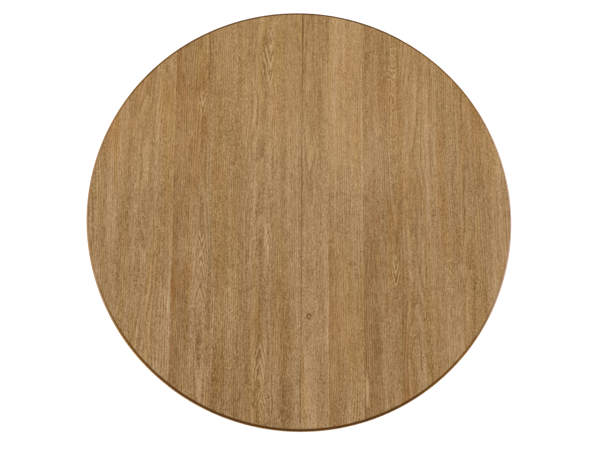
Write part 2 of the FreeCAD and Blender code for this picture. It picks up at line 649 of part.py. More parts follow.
def lock_lever():
    """The front lock's lever, drawn shut along +X and then swung open; its slot takes the stud."""
    z, t, half, tail_half = LEVER_BOTTOM, LEVER_THICKNESS, LEVER_HALF_WIDTH, LEVER_TAIL_HALF_WIDTH
    arm_end = LOCK_ARM + LEVER_NOSE
    tab_end = LEVER_TAB_THICKNESS - LEVER_TAIL
    pivot = Vector(0, 0, z)
    parts = [
        cylinder(LEVER_BOSS_RADIUS, pivot, t),
        box(0, arm_end, -half, half, z, z + t),
        cylinder(half, Vector(arm_end, 0, z), t),
        box(-LEVER_TAIL, 0, -tail_half, tail_half, z, z + t),
        box(-LEVER_TAIL, tab_end, -tail_half, tail_half, z - LEVER_TAB_DROP, z + t),
    ]
    arm = fuse_all(parts)
    ring = cylinder(LOCK_ARM + SLOT_HALF_WIDTH, pivot, t).cut(
        cylinder(LOCK_ARM - SLOT_HALF_WIDTH, pivot, t))
    slot = ring.common(box(0, LOCK_ARM * 2, 0, half * 2, z, z + t))
    slot = slot.fuse(cylinder(SLOT_HALF_WIDTH, Vector(LOCK_ARM, 0, z), t))
    slot.rotate(CENTRE, Z_AXIS, -SLOT_OVERRUN_ANGLE)
    bore = cylinder(STUD_RADIUS + RUNNING_CLEARANCE, pivot, t)
    lever = arm.cut(slot).cut(bore).removeSplitter()
    lever.rotate(CENTRE, Z_AXIS, -LOCK_OPEN_ANGLE)
    lever.translate(Vector(-LOCK_ARM / 2, -LOCK_Y, 0))
    return lever


# ---------------------------------------------------------------- screws into the top


def wood_screw_points(side):
    points = slide_points(rail_screw_points(), side) + block_screw_points(side)
    return points + batten_screw_points(side)


def lock_screw_points(side):
    front = lock_plate_screw_points(side)
    return front + [Vector(p.x, -p.y, p.z) for p in front]


def top_screw_holes(side):
    holes = [screw_hole(p, 1, WOOD_SCREW) for p in wood_screw_points(side)]
    return holes + [screw_hole(p, 1, SMALL_SCREW) for p in lock_screw_points(side)]


# ---------------------------------------------------------------- pedestal


def ring_arc(inner, outer, middle_z, half_height):
    """The round of a turned ring, between two points on its inner radius."""
    p = in_section
    return arc(p(inner, middle_z - half_height), p(outer, middle_z), p(inner, middle_z + half_height))


def column_section():
    p = in_section
    hub, head, bore = HUB_RADIUS, COLUMN_HEAD_RADIUS, COLUMN_BORE
    cove_z = HUB_TOP + HUB_ROUND
    cove_radius = hub - HUB_ROUND
    ring_z = cove_z + COVE_HEIGHT
    ring_top = ring_z + 2 * RING_HALF_HEIGHT
    vase_radius, neck_radius = VASE[0][1], VASE[-1][1]
    vase_top = VASE_BOTTOM + VASE[-1][0]
    neck_top = vase_top + 2 * NECK_RING_HALF_HEIGHT
    low, middle, high = COLLAR_RADII
    collar_top = COLLAR_BOTTOM + COLLAR_HEIGHT
    collar_middle = COLLAR_BOTTOM + 0.6 * COLLAR_HEIGHT
    return face_of([
        line(p(bore, COLUMN_BOTTOM), p(hub - HUB_CHAMFER, COLUMN_BOTTOM)),
        line(p(hub - HUB_CHAMFER, COLUMN_BOTTOM), p(hub, COLUMN_BOTTOM + HUB_CHAMFER)),
        line(p(hub, COLUMN_BOTTOM + HUB_CHAMFER), p(hub, HUB_TOP)),
        quarter((cove_radius, HUB_TOP), HUB_ROUND, 0, 90, p),
        arc(p(cove_radius, cove_z), p(COVE_MIDDLE_RADIUS, cove_z + COVE_HEIGHT / 3),
            p(COVE_TOP_RADIUS, ring_z)),
        line(p(COVE_TOP_RADIUS, ring_z), p(RING_INNER_RADIUS, ring_z)),
        ring_arc(RING_INNER_RADIUS, RING_RADIUS, ring_z + RING_HALF_HEIGHT, RING_HALF_HEIGHT),
        line(p(RING_INNER_RADIUS, ring_top), p(vase_radius, ring_top)),
        line(p(vase_radius, ring_top), p(vase_radius, VASE_BOTTOM)),
        curve([p(radius, VASE_BOTTOM + rise) for rise, radius in VASE]),
        line(p(neck_radius, vase_top), p(NECK_RING_INNER_RADIUS, vase_top)),
        ring_arc(NECK_RING_INNER_RADIUS, NECK_RING_RADIUS, vase_top + NECK_RING_HALF_HEIGHT,
                 NECK_RING_HALF_HEIGHT),
        line(p(NECK_RING_INNER_RADIUS, neck_top), p(low, neck_top)),
        line(p(low, neck_top), p(low, COLLAR_BOTTOM)),
        arc(p(low, COLLAR_BOTTOM), p(middle, collar_middle), p(high, collar_top)),
        line(p(high, collar_top), p(head, collar_top)),
        line(p(head, collar_top), p(head, CAP_BOTTOM)),
        line(p(head, CAP_BOTTOM), p(bore, CAP_BOTTOM)),
        line(p(bore, CAP_BOTTOM), p(bore, COLUMN_BOTTOM)),
    ])


def at_leg(shape, angle):
    return turned_about_z(shape, angle)


def dowel(start, axis):
    return cylinder(DOWEL_RADIUS, start, DOWEL_LENGTH, axis)


def dowel_hole(start, axis):
    return cylinder(DOWEL_RADIUS + FIT, start - axis * FIT, DOWEL_LENGTH + 2 * FIT, axis)


def leg_dowel_starts():
    return [Vector(HUB_FLAT - DOWEL_LENGTH / 2, 0, z) for z in LEG_DOWEL_Z]


def cap_dowel_start():
    return Vector(CAP_DOWEL_RING, 0, CAP_BOTTOM + CAP_DOWEL_INTO_CAP - DOWEL_LENGTH)


def cap_dowel_holes():
    return [turned_about_z(dowel_hole(cap_dowel_start(), Z_AXIS), angle) for angle in CAP_DOWEL_ANGLES]


def dowels():
    legs = [at_leg(dowel(start, X_AXIS), angle) for angle in LEG_ANGLES for start in leg_dowel_starts()]
    return legs + [turned_about_z(dowel(cap_dowel_start(), Z_AXIS), angle) for angle in CAP_DOWEL_ANGLES]


def column():
    """The turned column. Four flats on its hub take the legs."""
    solid = column_section().revolve(CENTRE, Z_AXIS, 360)
    flat = box(HUB_FLAT, HUB_RADIUS + MARGIN, -HUB_RADIUS / 2, HUB_RADIUS / 2,
               COLUMN_BOTTOM - MARGIN, LEG_JOINT_TOP)
    tools = [at_leg(flat, angle) for angle in LEG_ANGLES]
    tools += [at_leg(dowel_hole(start, X_AXIS), angle)
              for angle in LEG_ANGLES for start in leg_dowel_starts()]
    return cut_all(solid, tools + cap_dowel_holes())


def leg_section(reach, half_width, bottom, top):
    """A rounded rectangle across the leg, softer above than below."""
    upper, lower = LEG_UPPER_ROUND, LEG_LOWER_ROUND

    def at(y, z):
        return Vector(reach, y, z)

    w = half_width
    return Part.Wire([
        line(at(-w + lower, bottom), at(w - lower, bottom)),
        quarter((w - lower, bottom + lower), lower, -90, 90, at),
        line(at(w, bottom + lower), at(w, top - upper)),
        quarter((w - upper, top - upper), upper, 0, 90, at),
        line(at(w - upper, top), at(-w + upper, top)),
        quarter((-w + upper, top - upper), upper, 90, 90, at),
        line(at(-w, top - upper), at(-w, bottom + lower)),
        quarter((-w + lower, bottom + lower), lower, 180, 90, at),
    ])


def foot_pad():
    """The round pad that the leg runs out into."""
    p = in_section
    widest = p(PAD_RADIUS, PAD_WIDEST)
    flat_edge = p(PAD_FLAT_RADIUS, PAD_BOTTOM)
    section = face_of([
        arc(p(0, PAD_CROWN), p(*PAD_SHOULDER), widest),
        arc(widest, p(*PAD_LOWER_ROUND), flat_edge),
        line(flat_edge, p(0, PAD_BOTTOM)),
        line(p(0, PAD_BOTTOM), p(0, PAD_CROWN)),
    ])
    pad = section.revolve(CENTRE, Z_AXIS, 360)
    pad.translate(X_AXIS * PAD_AT)
    return pad


def leg():
    """One curved leg along +X, from the flat on the hub to its foot pad."""
    sections = [leg_section(*section) for section in LEG_SECTIONS]
    body = Part.makeLoft(sections, True, False)
    body = body.fuse(foot_pad())
    inside = HUB_FLAT - MARGIN
    above_joint = box(inside, HUB_RADIUS + MARGIN, -HUB_RADIUS, HUB_RADIUS, LEG_JOINT_TOP, HUB_TOP)
    below_hub = box(inside, SPIDER_REACH, -HUB_RADIUS, HUB_RADIUS, 0, COLUMN_BOTTOM)
    tools = [above_joint, below_hub] + [dowel_hole(start, X_AXIS) for start in leg_dowel_starts()]
    tools += [screw_hole(point, 1, SHORT_SCREW) for point in spider_screw_points()]
    tools.append(screw_hole(glide_screw_point(), 1, SHORT_SCREW))
    return cut_all(body, tools)


def glide_screw_point():
    return Vector(PAD_AT, 0, GLIDE_SCREW_INSET)


def glide():
    """A nylon disc screwed under a foot pad."""
    base = Vector(PAD_AT, 0, 0)
    disc = cylinder(GLIDE_RADIUS, base, PAD_BOTTOM)
    disc = disc.makeFillet(GLIDE_ROUND, [edge for edge in disc.Edges if edge.BoundBox.ZMax < MARGIN])
    head_room = cylinder(COUNTERBORE_RADIUS, base, GLIDE_SCREW_INSET)
    return cut_all(disc, [head_room, screw_hole(glide_screw_point(), 1, SHORT_SCREW)])


def spider_screw_points():
    return [Vector(u, 0, COLUMN_BOTTOM - SPIDER_THICKNESS) for u in SPIDER_SCREW_AT]


def spider_plate():
    """The steel cross under the hub that ties the legs to the tie rod."""
    z, t = COLUMN_BOTTOM - SPIDER_THICKNESS, SPIDER_THICKNESS
    half = SPIDER_ARM_WIDTH / 2
    arm = box(0, SPIDER_REACH - half, -half, half, z, z + t).fuse(
        cylinder(half, Vector(SPIDER_REACH - half, 0, z), t))
    hub = cylinder(SPIDER_HUB_RADIUS, Vector(0, 0, z), t)
    plate = fuse_all([hub] + [at_leg(arm, angle) for angle in LEG_ANGLES])
    holes = [at_leg(screw_hole(point, 1, SHORT_SCREW), angle)
             for angle in LEG_ANGLES for point in spider_screw_points()]
    return cut_all(plate, holes + [cylinder(COLUMN_BORE, Vector(0, 0, z), t)]).removeSplitter()


def spider_screws():
    return [at_leg(screw(point, 1, SHORT_SCREW), angle)
            for angle in LEG_ANGLES for point in spider_screw_points()]


def tie_rod_hardware():
    """Washers and nuts of the tie rod, above the cap and under the spider plate."""
    cap_top = CAP_BOTTOM + CAP_THICKNESS
    plate_bottom = COLUMN_BOTTOM - SPIDER_THICKNESS
    stacks = [(cap_top, cap_top + WASHER_THICKNESS),
              (plate_bottom - WASHER_THICKNESS, plate_bottom - WASHER_THICKNESS - NUT_HEIGHT)]
    washers, nuts = [], []
    for washer_z, nut_z in stacks:
        bore = cylinder(TIE_ROD_RADIUS + FIT, Vector(0, 0, 0), TABLE_HEIGHT)
        washers.append(cylinder(WASHER_RADIUS, Vector(0, 0, washer_z), WASHER_THICKNESS).cut(bore))
        nuts.append(hexagonal_prism(NUT_FLATS, Vector(0, 0, nut_z), NUT_HEIGHT).cut(bore))
    return washers, nuts


def lag_places():
    return [Vector(side * BEARER_X, end * LAG_Y, LAG_SEAT)
            for side in (LEFT, RIGHT) for end in (FRONT, REAR)]


def lag_screw(seat):
    head = hexagonal_prism(LAG_HEAD_FLATS, seat, LAG_HEAD_HEIGHT)
    return head.fuse(cylinder(LAG_RADIUS, seat, LAG_LENGTH, -Z_AXIS)).removeSplitter()


def lag_hole(seat):
    pocket = cylinder(LAG_POCKET_RADIUS, seat, CENTRE_RAIL_BOTTOM - seat.z)
    return pocket.fuse(cylinder(LAG_RADIUS + FIT, seat, LAG_LENGTH + FIT, -Z_AXIS))


def cap():
    half, bottom, top = CAP_SIDE / 2, CAP_BOTTOM, CAP_BOTTOM + CAP_THICKNESS
    block = box(-half, half, -half, half, bottom, top)
    block = block.makeFillet(CAP_CORNER_RADIUS, upright_edges(block))
    block = block.makeChamfer(CAP_CHAMFER, [e for e in block.Edges if e.BoundBox.ZMax < bottom + MARGIN])
    bore = cylinder(COLUMN_BORE, Vector(0, 0, bottom), CAP_THICKNESS)
    return cut_all(block, [bore] + cap_dowel_holes() + [lag_hole(p) for p in lag_places()])


def bearer(side):
    """One cross bearer, thinned underneath towards its two ends."""
    top, bottom = CENTRE_RAIL_BOTTOM, BEARER_BOTTOM
    tip, straight, end = top - BEARER_TIP_HEIGHT, BEARER_STRAIGHT, BEARER_HALF_LENGTH
    face = polygon([Vector(0, y, z) for y, z in (
        (-end, top), (end, top), (end, tip), (straight, bottom), (-straight, bottom), (-end, tip))])
    face.translate(X_AXIS * (side * BEARER_X - BEARER_WIDTH / 2))
    solid = face.extrude(X_AXIS * BEARER_WIDTH)
    holes = [lag_hole(p) for p in lag_places()]
    holes += [screw_hole(point_in_set(e, p), -1, WOOD_SCREW)
              for e in (FRONT, REAR) for p in centre_rail_screw_points()]
    return cut_all(solid, holes)


def tie_rod():
    return cylinder(TIE_ROD_RADIUS, Vector(0, 0, TIE_ROD_BOTTOM), TIE_ROD_TOP - TIE_ROD_BOTTOM)


# ---------------------------------------------------------------- all sub-parts


def build_half(side):
    name = SIDE_NAMES[side]
    save("top_boards_" + name, *top_boards(side))
    save("apron_" + name, apron(side))
    save("glue_blocks_" + name, *glue_blocks(side))
    for end in (FRONT, REAR):
        turned = side == RIGHT
        save(END_NAMES[end] + "_rail_" + name, in_set(end, moving_rail(), turned))
        save(END_NAMES[end] + "_rack_" + name, in_set(end, rack(), turned))
    save("battens_" + name, *[batten(side, end) for end in (FRONT, REAR)])
    save("wood_screws_" + name, *[screw(p, 1, WOOD_SCREW) for p in wood_screw_points(side)])
    small = [screw(p, 1, SMALL_SCREW) for p in lock_screw_points(side)]
    small += [screw(p, -1, SMALL_SCREW) for p in slide_points(rack_screw_points(), side)]
    save("small_screws_" + name, *small)


def build_locks():
    for side, piece in ((LEFT, "lock_base"), (RIGHT, "lock_keeper")):
        save("front_" + piece, lock_plate(side))
        save("rear_" + piece, mirrored_in_y(lock_plate(side)))
    save("front_lock_lever", lock_lever())
    save("rear_lock_lever", mirrored_in_y(lock_lever()))


def build_slides():
    for end in (FRONT, REAR):
        name = END_NAMES[end]
        save(name + "_centre_rail", in_set(end, centre_rail()))
        save(name + "_pinion", in_set(end, pinion()))
    ends = (FRONT, REAR)
    save("pinion_straps", *[in_set(end, strap()) for end in ends])
    save("pinion_pins", *[in_set(end, pinion_pin()) for end in ends])
    save("thrust_washers", *[in_set(end, thrust_washer()) for end in ends])
    save("centre_rail_screws", *[screw(point_in_set(end, p), -1, WOOD_SCREW)
                                 for end in ends for p in centre_rail_screw_points()])
    save("strap_screws", *[screw(point_in_set(end, p), -1, SMALL_SCREW)
                           for end in ends for p in strap_screw_points()])


def build_pedestal():
    save("column", column())
    save("column_cap", cap())
    save("bearer_left", bearer(LEFT))
    save("bearer_right", bearer(RIGHT))
    washers, nuts = tie_rod_hardware()
    save("tie_rod", tie_rod())
    save("tie_rod_washers", *washers)
    save("tie_rod_nuts", *nuts)
    save("lag_screws", *[lag_screw(p) for p in lag_places()])
    save("dowels", *dowels())
    save("spider_plate", spider_plate())
    save("spider_screws", *spider_screws())
    save("glides", *[at_leg(glide(), angle) for angle in LEG_ANGLES])
    save("glide_screws", *[at_leg(screw(glide_screw_point(), 1, SHORT_SCREW), angle)
                           for angle in LEG_ANGLES])
    one_leg = leg()
    for number, angle in enumerate(LEG_ANGLES, start=1):
        save("leg_%d" % number, at_leg(one_leg, angle))


def main():
    os.makedirs("parts", exist_ok=True)
    build_half(LEFT)
    build_half(RIGHT)
    save("alignment_pins", *alignment_pins())
    save("pin_bushes", *pin_bushes())
    build_locks()
    build_slides()
    build_pedestal()


main()
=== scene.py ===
import math

import bmesh
import bpy
from mathutils import Matrix, Vector


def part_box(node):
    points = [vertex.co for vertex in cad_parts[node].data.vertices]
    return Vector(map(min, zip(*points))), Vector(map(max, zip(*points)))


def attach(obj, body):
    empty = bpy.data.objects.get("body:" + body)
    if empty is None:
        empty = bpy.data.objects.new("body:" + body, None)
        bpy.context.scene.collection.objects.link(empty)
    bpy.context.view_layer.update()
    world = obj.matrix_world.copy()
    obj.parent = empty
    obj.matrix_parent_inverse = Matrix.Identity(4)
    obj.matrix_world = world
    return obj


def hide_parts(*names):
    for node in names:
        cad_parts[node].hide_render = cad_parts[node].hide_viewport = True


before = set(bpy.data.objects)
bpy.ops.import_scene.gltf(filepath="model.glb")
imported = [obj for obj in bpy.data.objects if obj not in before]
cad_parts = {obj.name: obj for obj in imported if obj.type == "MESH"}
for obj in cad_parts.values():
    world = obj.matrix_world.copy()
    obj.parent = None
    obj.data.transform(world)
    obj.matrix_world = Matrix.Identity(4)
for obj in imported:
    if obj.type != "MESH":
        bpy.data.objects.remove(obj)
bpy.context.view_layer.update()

# The table, in metres: the frame gives its place, and these follow the model's own design.
TOP_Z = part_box("top_boards_right")[1].z
UNDERSIDE_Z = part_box("top_boards_right")[0].z
TOP_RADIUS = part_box("top_boards_right")[1].y
HALF_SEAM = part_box("top_boards_right")[0].x
EDGE_STEP, EDGE_BEAD, EDGE_LOWER_ROUND, EDGE_ARRIS = 0.0016, 0.008, 0.008, 0.0005
QUIRK_RADIUS = TOP_RADIUS - EDGE_BEAD
QUIRK_SOFTNESS = 0.0004
GLAZE_AND_SHADE_WANDER = 0.0012
SEAM_CHAMFER = 0.0009
SOCKET_Z = (TOP_Z + UNDERSIDE_Z) / 2
SOCKET_Y = (-0.560, -0.280, 0.0, 0.280, 0.560)
SOCKETS = {"left": (0.0051, 0.0321), "right": (0.0076, 0.0271)}
APRON_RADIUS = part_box("apron_right")[1].y
APRON_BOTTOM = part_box("apron_right")[0].z
APRON_THICKNESS, APRON_BEAD, APRON_SET_BACK, APRON_STEP = 0.020, 0.005, 0.0025, 0.001
HALF_APRON_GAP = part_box("apron_right")[0].x
RIM_STEPS = 720
ARRIS_STEPS, EDGE_BEAD_STEPS, LOWER_ROUND_STEPS, APRON_BEAD_STEPS = 3, 12, 8, 16
SOCKET_SIDES = 48
SHARP_EDGE = math.radians(28)
LEG_ANGLES = (45, 135, 225, 315)
LEG_FALL = math.radians(-32)

# The boards of each half from the seam outwards: the joint that ends each one, its tone and its
# warmth from 0 to 1, how much lighter it is at the rear, how orange its left edge is, and where
# the heart of its tree lay: across from the seam, and how deep under the top.
BOARDS = {
    "left": (
        (0.095, 0.48, 0.40, 0.08, 0.00, 0.120, 0.030),
        (0.192, 0.46, 0.35, 0.06, 0.10, 0.130, 0.060),
        (0.285, 0.44, 0.45, 0.10, 0.15, 0.330, 0.045),
        (0.412, 0.43, 0.70, 0.00, 0.75, 0.318, 0.025),
        (0.494, 0.51, 0.50, 0.00, 0.00, 0.520, 0.080),
        (0.590, 0.47, 0.40, -0.02, 0.10, 0.500, 0.055),
        (TOP_RADIUS, 0.49, 0.55, 0.02, 0.00, 0.720, 0.070),
    ),
    "right": (
        (0.088, 0.52, 0.30, -0.06, 0.10, 0.024, 0.040),
        (0.199, 0.55, 0.40, 0.12, 0.90, 0.230, 0.050),
        (0.319, 0.43, 0.75, 0.05, 0.80, 0.302, 0.020),
        (0.420, 0.49, 0.50, 0.06, 0.95, 0.365, 0.060),
        (0.518, 0.51, 0.60, -0.10, 0.60, 0.560, 0.075),
        (0.600, 0.45, 0.45, -0.06, 0.30, 0.540, 0.040),
        (TOP_RADIUS, 0.55, 0.40, -0.10, 0.00, 0.700, 0.065),
    ),
}

# Figure in the grain, by its place on the top: half its width, half its length and its strength.
# A vee is a nest of pointed arches whose points are at the front (1) or at the rear (-1), with
# the distance across from one arch to the next. A knot has only a radius, and a pale streak has
# no strength of its own.
VEES = (
    (-0.106, 0.610, 0.016, 0.030, 0.8, 1, 0.0100),
    (-0.105, 0.500, 0.042, 0.110, 1.0, 1, 0.0135),
    (-0.324, 0.362, 0.017, 0.055, 1.1, 1, 0.0085),
    (-0.210, 0.350, 0.008, 0.040, 0.5, -1, 0.0078),
    (-0.318, -0.090, 0.017, 0.040, 1.1, 1, 0.0085),
    (-0.318, -0.165, 0.020, 0.060, 1.0, -1, 0.0085),
    (-0.320, -0.255, 0.024, 0.050, 0.8, -1, 0.0105),
    (-0.107, -0.075, 0.014, 0.060, 1.0, -1, 0.0078),
    (-0.130, -0.470, 0.030, 0.100, 0.8, -1, 0.0110),
    (-0.124, -0.590, 0.020, 0.045, 0.8, -1, 0.0090),
    (0.205, 0.140, 0.014, 0.090, 0.5, 1, 0.0078),
    (0.302, 0.400, 0.020, 0.080, 0.5, 1, 0.0085),
    (0.303, -0.185, 0.016, 0.062, 1.2, 1, 0.0095),
    (-0.470, 0.120, 0.016, 0.110, 0.5, 1, 0.0085),
)
CURLS = (
    (0.302, 0.545, 0.017, 0.030, 0.8), (0.302, 0.470, 0.018, 0.036, 1.1),
    (0.302, 0.405, 0.017, 0.014, 1.0), (0.302, 0.345, 0.016, 0.016, 0.9),
    (0.300, 0.235, 0.018, 0.040, 0.6),
    (0.354, -0.386, 0.024, 0.010, 0.9), (0.367, -0.447, 0.024, 0.010, 0.7),
)
CURL_SPACING = 0.018
KNOTS = ((0.0245, -0.329, 0.0062), (-0.107, 0.478, 0.0030))
PALE_STREAKS = (
    (-0.419, -0.295, 0.004, 0.050), (-0.106, -0.130, 0.004, 0.045), (0.208, -0.560, 0.006, 0.070),
)


# ------------------------------------------------------------------ shader arithmetic


def plug(tree, socket, value):
    """Gives a socket a plain value, or links it to what a Field or a Tint comes from."""
    if isinstance(value, (Field, Tint)):
        tree.links.new(value.socket, socket)
    else:
        socket.default_value = value


class Field:
    """A number that varies over a surface. Arithmetic on fields makes the shader's math nodes."""

    def __init__(self, tree, socket):
        self.tree, self.socket = tree, socket

    def math(self, operation, *others, clamp=False):
        made = self.tree.nodes.new("ShaderNodeMath")
        made.operation = operation
        made.use_clamp = clamp
        for socket, value in zip(made.inputs, (self,) + others):
            plug(self.tree, socket, value)
        return Field(self.tree, made.outputs[0])

    def __add__(self, other):
        return self.math("ADD", other)

    def __sub__(self, other):
        return self.math("SUBTRACT", other)

    def __mul__(self, other):
        return self.math("MULTIPLY", other)

    def clamped(self):
        return self.math("ADD", 0.0, clamp=True)

    def fraction(self):
        return self.math("FRACT")

    def absolute(self):
        return self.math("ABSOLUTE")

    def length_with(self, other):
        return (self * self + other * other).math("SQRT")

    def remap(self, low, high, to_low=0.0, to_high=1.0, smooth=False):
        made = self.tree.nodes.new("ShaderNodeMapRange")
        made.interpolation_type = "SMOOTHSTEP" if smooth else "LINEAR"
        plug(self.tree, made.inputs["Value"], self)
        ends = {"From Min": low, "From Max": high, "To Min": to_low, "To Max": to_high}
        for name, value in ends.items():
            plug(self.tree, made.inputs[name], value)
        return Field(self.tree, made.outputs["Result"])


class Tint:
    """A colour that varies over a surface."""

    def __init__(self, tree, socket):
        self.tree, self.socket = tree, socket

    def blend(self, other, amount, how="MIX"):
        made = self.tree.nodes.new("ShaderNodeMix")
        made.data_type = "RGBA"
        made.blend_type = how
        plug(self.tree, made.inputs[0], amount)
        plug(self.tree, made.inputs[6], self)
        plug(self.tree, made.inputs[7], other)
        return Tint(self.tree, made.outputs[2])


def linear(red, green, blue):
    """A display colour of 0 to 255 as the linear colour that shaders take."""
    def one(value):
        value /= 255
        return value / 12.92 if value <= 0.04045 else ((value + 0.055) / 1.055) ** 2.4
    return (one(red), one(green), one(blue), 1.0)


def gradient(field, stops):
    """A colour for each value of a field; stops are (position, colour)."""
    made = field.tree.nodes.new("ShaderNodeValToRGB")
    ramp = made.color_ramp
    ramp.interpolation = "LINEAR"
    for element in list(ramp.elements)[1:]:
        ramp.elements.remove(element)
    for number, (position, colour) in enumerate(stops):
        element = ramp.elements[0] if number == 0 else ramp.elements.new(position)
        element.position = position
        element.color = colour
    plug(field.tree, made.inputs[0], field)
    return Tint(field.tree, made.outputs[0])


def combined(tree, x, y, z):
    made = tree.nodes.new("ShaderNodeCombineXYZ")
    for socket, value in zip(made.inputs, (x, y, z)):
        plug(tree, socket, value)
    return made.outputs[0]


def cloud(place, scales, detail=2.0, roughness=0.5, seed=0.0):
    """Smooth noise from 0 to 1 at a place (three fields), with its own scale along each."""
    tree = place[0].tree
    made = tree.nodes.new("ShaderNodeTexNoise")
    made.inputs["Scale"].default_value = 1.0
    made.inputs["Detail"].default_value = detail
    made.inputs["Roughness"].default_value = roughness
    a, b, c = (axis * scale for axis, scale in zip(place, scales))
    tree.links.new(combined(tree, a + seed, b, c), made.inputs["Vector"])
    return Field(tree, made.outputs[0])


def split(tree, socket):
    made = tree.nodes.new("ShaderNodeSeparateXYZ")
    tree.links.new(socket, made.inputs[0])
    return [Field(tree, output) for output in made.outputs]


RECESS_SAMPLES = 6


class Material:
    """A new material with its Principled shader, its object coordinates and its bump."""

    def __init__(self, name, roughness=0.5, **values):
        self.made = bpy.data.materials.new(name)
        self.made.use_nodes = True
        self.tree = self.made.node_tree
        self.shader = self.tree.nodes["Principled BSDF"]
        self.set("Roughness", roughness)
        for socket, value in values.items():
            self.set(socket.replace("_", " "), value)
        coordinates = self.tree.nodes.new("ShaderNodeTexCoord")
        self.place = split(self.tree, coordinates.outputs["Object"])
        geometry = self.tree.nodes.new("ShaderNodeNewGeometry")
        self.normal = split(self.tree, geometry.outputs["Normal"])
        self.edge = Field(self.tree, geometry.outputs["Pointiness"])

    def set(self, socket, value):
        plug(self.tree, self.shader.inputs[socket], value)

    def recess(self, reach):
        """0 on an open surface, and up to 1 deep in a groove or a corner of that size."""
        made = self.tree.nodes.new("ShaderNodeAmbientOcclusion")
        made.samples = RECESS_SAMPLES
        made.inputs["Distance"].default_value = reach
        return Field(self.tree, made.outputs["AO"]) * -1.0 + 1.0

    def bump(self, height, strength, depth):
        made = self.tree.nodes.new("ShaderNodeBump")
        made.inputs["Strength"].default_value = strength
        made.inputs["Distance"].default_value = depth
        plug(self.tree, made.inputs["Height"], height)
        self.tree.links.new(made.outputs[0], self.shader.inputs["Normal"])


# ------------------------------------------------------------------ oak

# The stained oak's middle colour, as displayed, and what is added to it at even steps from its
# darkest grain to its lightest.
MIDDLE_OAK = (164, 130, 87)
OAK_SHADES = (-58, -29, 0, 20, 40)
OAK_STOPS = [(step / (len(OAK_SHADES) - 1), linear(*[part + shade for part in MIDDLE_OAK]))
             for step, shade in enumerate(OAK_SHADES)]
OAK_LINE = linear(98, 65, 26)
OAK_PALE_LINE = linear(216, 184, 136)
# Glaze, which also stands for painted shade: in the quirk of the top's edge, and in the grooves,
# corners and joins of the base.
GLAZE_AND_PAINTED_SHADE = linear(84, 48, 0)
OAK_RAW = linear(192, 160, 116)
# Painted sheen on the bead's outer face, and the painted highlight that it takes towards the right.
BEAD_PAINTED_SHEEN, BEAD_PAINTED_HIGHLIGHT = linear(178, 132, 92), linear(208, 178, 160)

# Noise in the oak: its scale along the grain, across it and through it, then its detail and, where
# it isn't a half, its roughness.
SWAY = ((2.2, 7.0, 7.0), 2.0)
SHIVER = ((14.0, 60.0, 60.0), 2.0)
FADE = ((5.0, 26.0, 26.0), 1.0)
PORES = ((110.0, 1150.0, 1150.0), 1.0)
FIBRE = ((30.0, 350.0, 350.0), 3.0, 0.62)
FLECK = ((150.0, 350.0, 350.0), 2.0, 0.7)
DASH = ((44.0, 190.0, 190.0), 2.0, 0.6)
ZONE = ((3.0, 15.0, 15.0), 2.0)
BLOTCH = ((5.5, 11.0, 11.0), 2.0)
WARM_BAND = ((2.0, 24.0, 24.0), 2.0)
STREAK = ((1.5, 42.0, 42.0), 3.0, 0.6)
RAGGED = ((40.0, 110.0, 110.0), 2.0)
RIM_WANDER = ((30.0, 30.0, 30.0), 3.0)
STAIN_WANDER = ((6.0, 30.0, 30.0), 2.0)
STAIN_CLOUD = ((9.0, 9.0, 9.0), 2.0)

# How strongly each kind of figure darkens and lightens the oak.
VEE_DARK, VEE_PALE = 0.50, 0.44
CURL_DARK, CURL_PALE = 0.55, 0.36
KNOT_DARK, KNOT_PALE = 0.85, 0.4
STREAK_PALE = 0.45
VEE_STEEPEST, VEE_ROUNDING = 4.6, 0.0012

# The moulded edge, in metres as (where it begins, where it is full): below the top, the stained
# upper part of the bead, the lip and the glaze line, which is partly painted shade; beyond the
# quirk, the bead's outer face, which carries a painted sheen. Painted light falls on it from the
# right, from where RIM_LIT begins.
STAINED_DEPTH, LIP_DEPTH, GLAZE_AND_SHADE_DEPTH = (0.0125, 0.0085), (0.0056, 0.0038), (0.0052, 0.0036)
OUTER_FACE = (0.0012, 0.0036)
RIM_LIT = (0.30 * TOP_RADIUS, 0.90 * TOP_RADIUS)
REAR_GLAZE_AND_SHADE_RISE = 0.0040

# Annual rings: how many to a metre, and how far sway and shiver push them aside, in metres.
RING_COUNT, RING_SWAY, RING_SHIVER = 170.0, 0.034, 0.0022
RING_DARK, RING_PALE = 0.30, 0.24


def cast(red, green, blue):
    """What turns the middle colour of the oak into this one where it is multiplied in."""
    return tuple(one / other for one, other in zip(linear(red, green, blue), linear(*MIDDLE_OAK)))


ORANGE_CAST = cast(148, 105, 58)
GREYED_CAST = cast(170, 139, 103)
GOLDEN_CAST = cast(166, 129, 74)
REAR_CAST = cast(168, 128, 76)
EDGE_STAIN = cast(156, 118, 64)
GOLDEN_STAIN = cast(157, 111, 38)
DEEP_STAIN = cast(118, 82, 18)


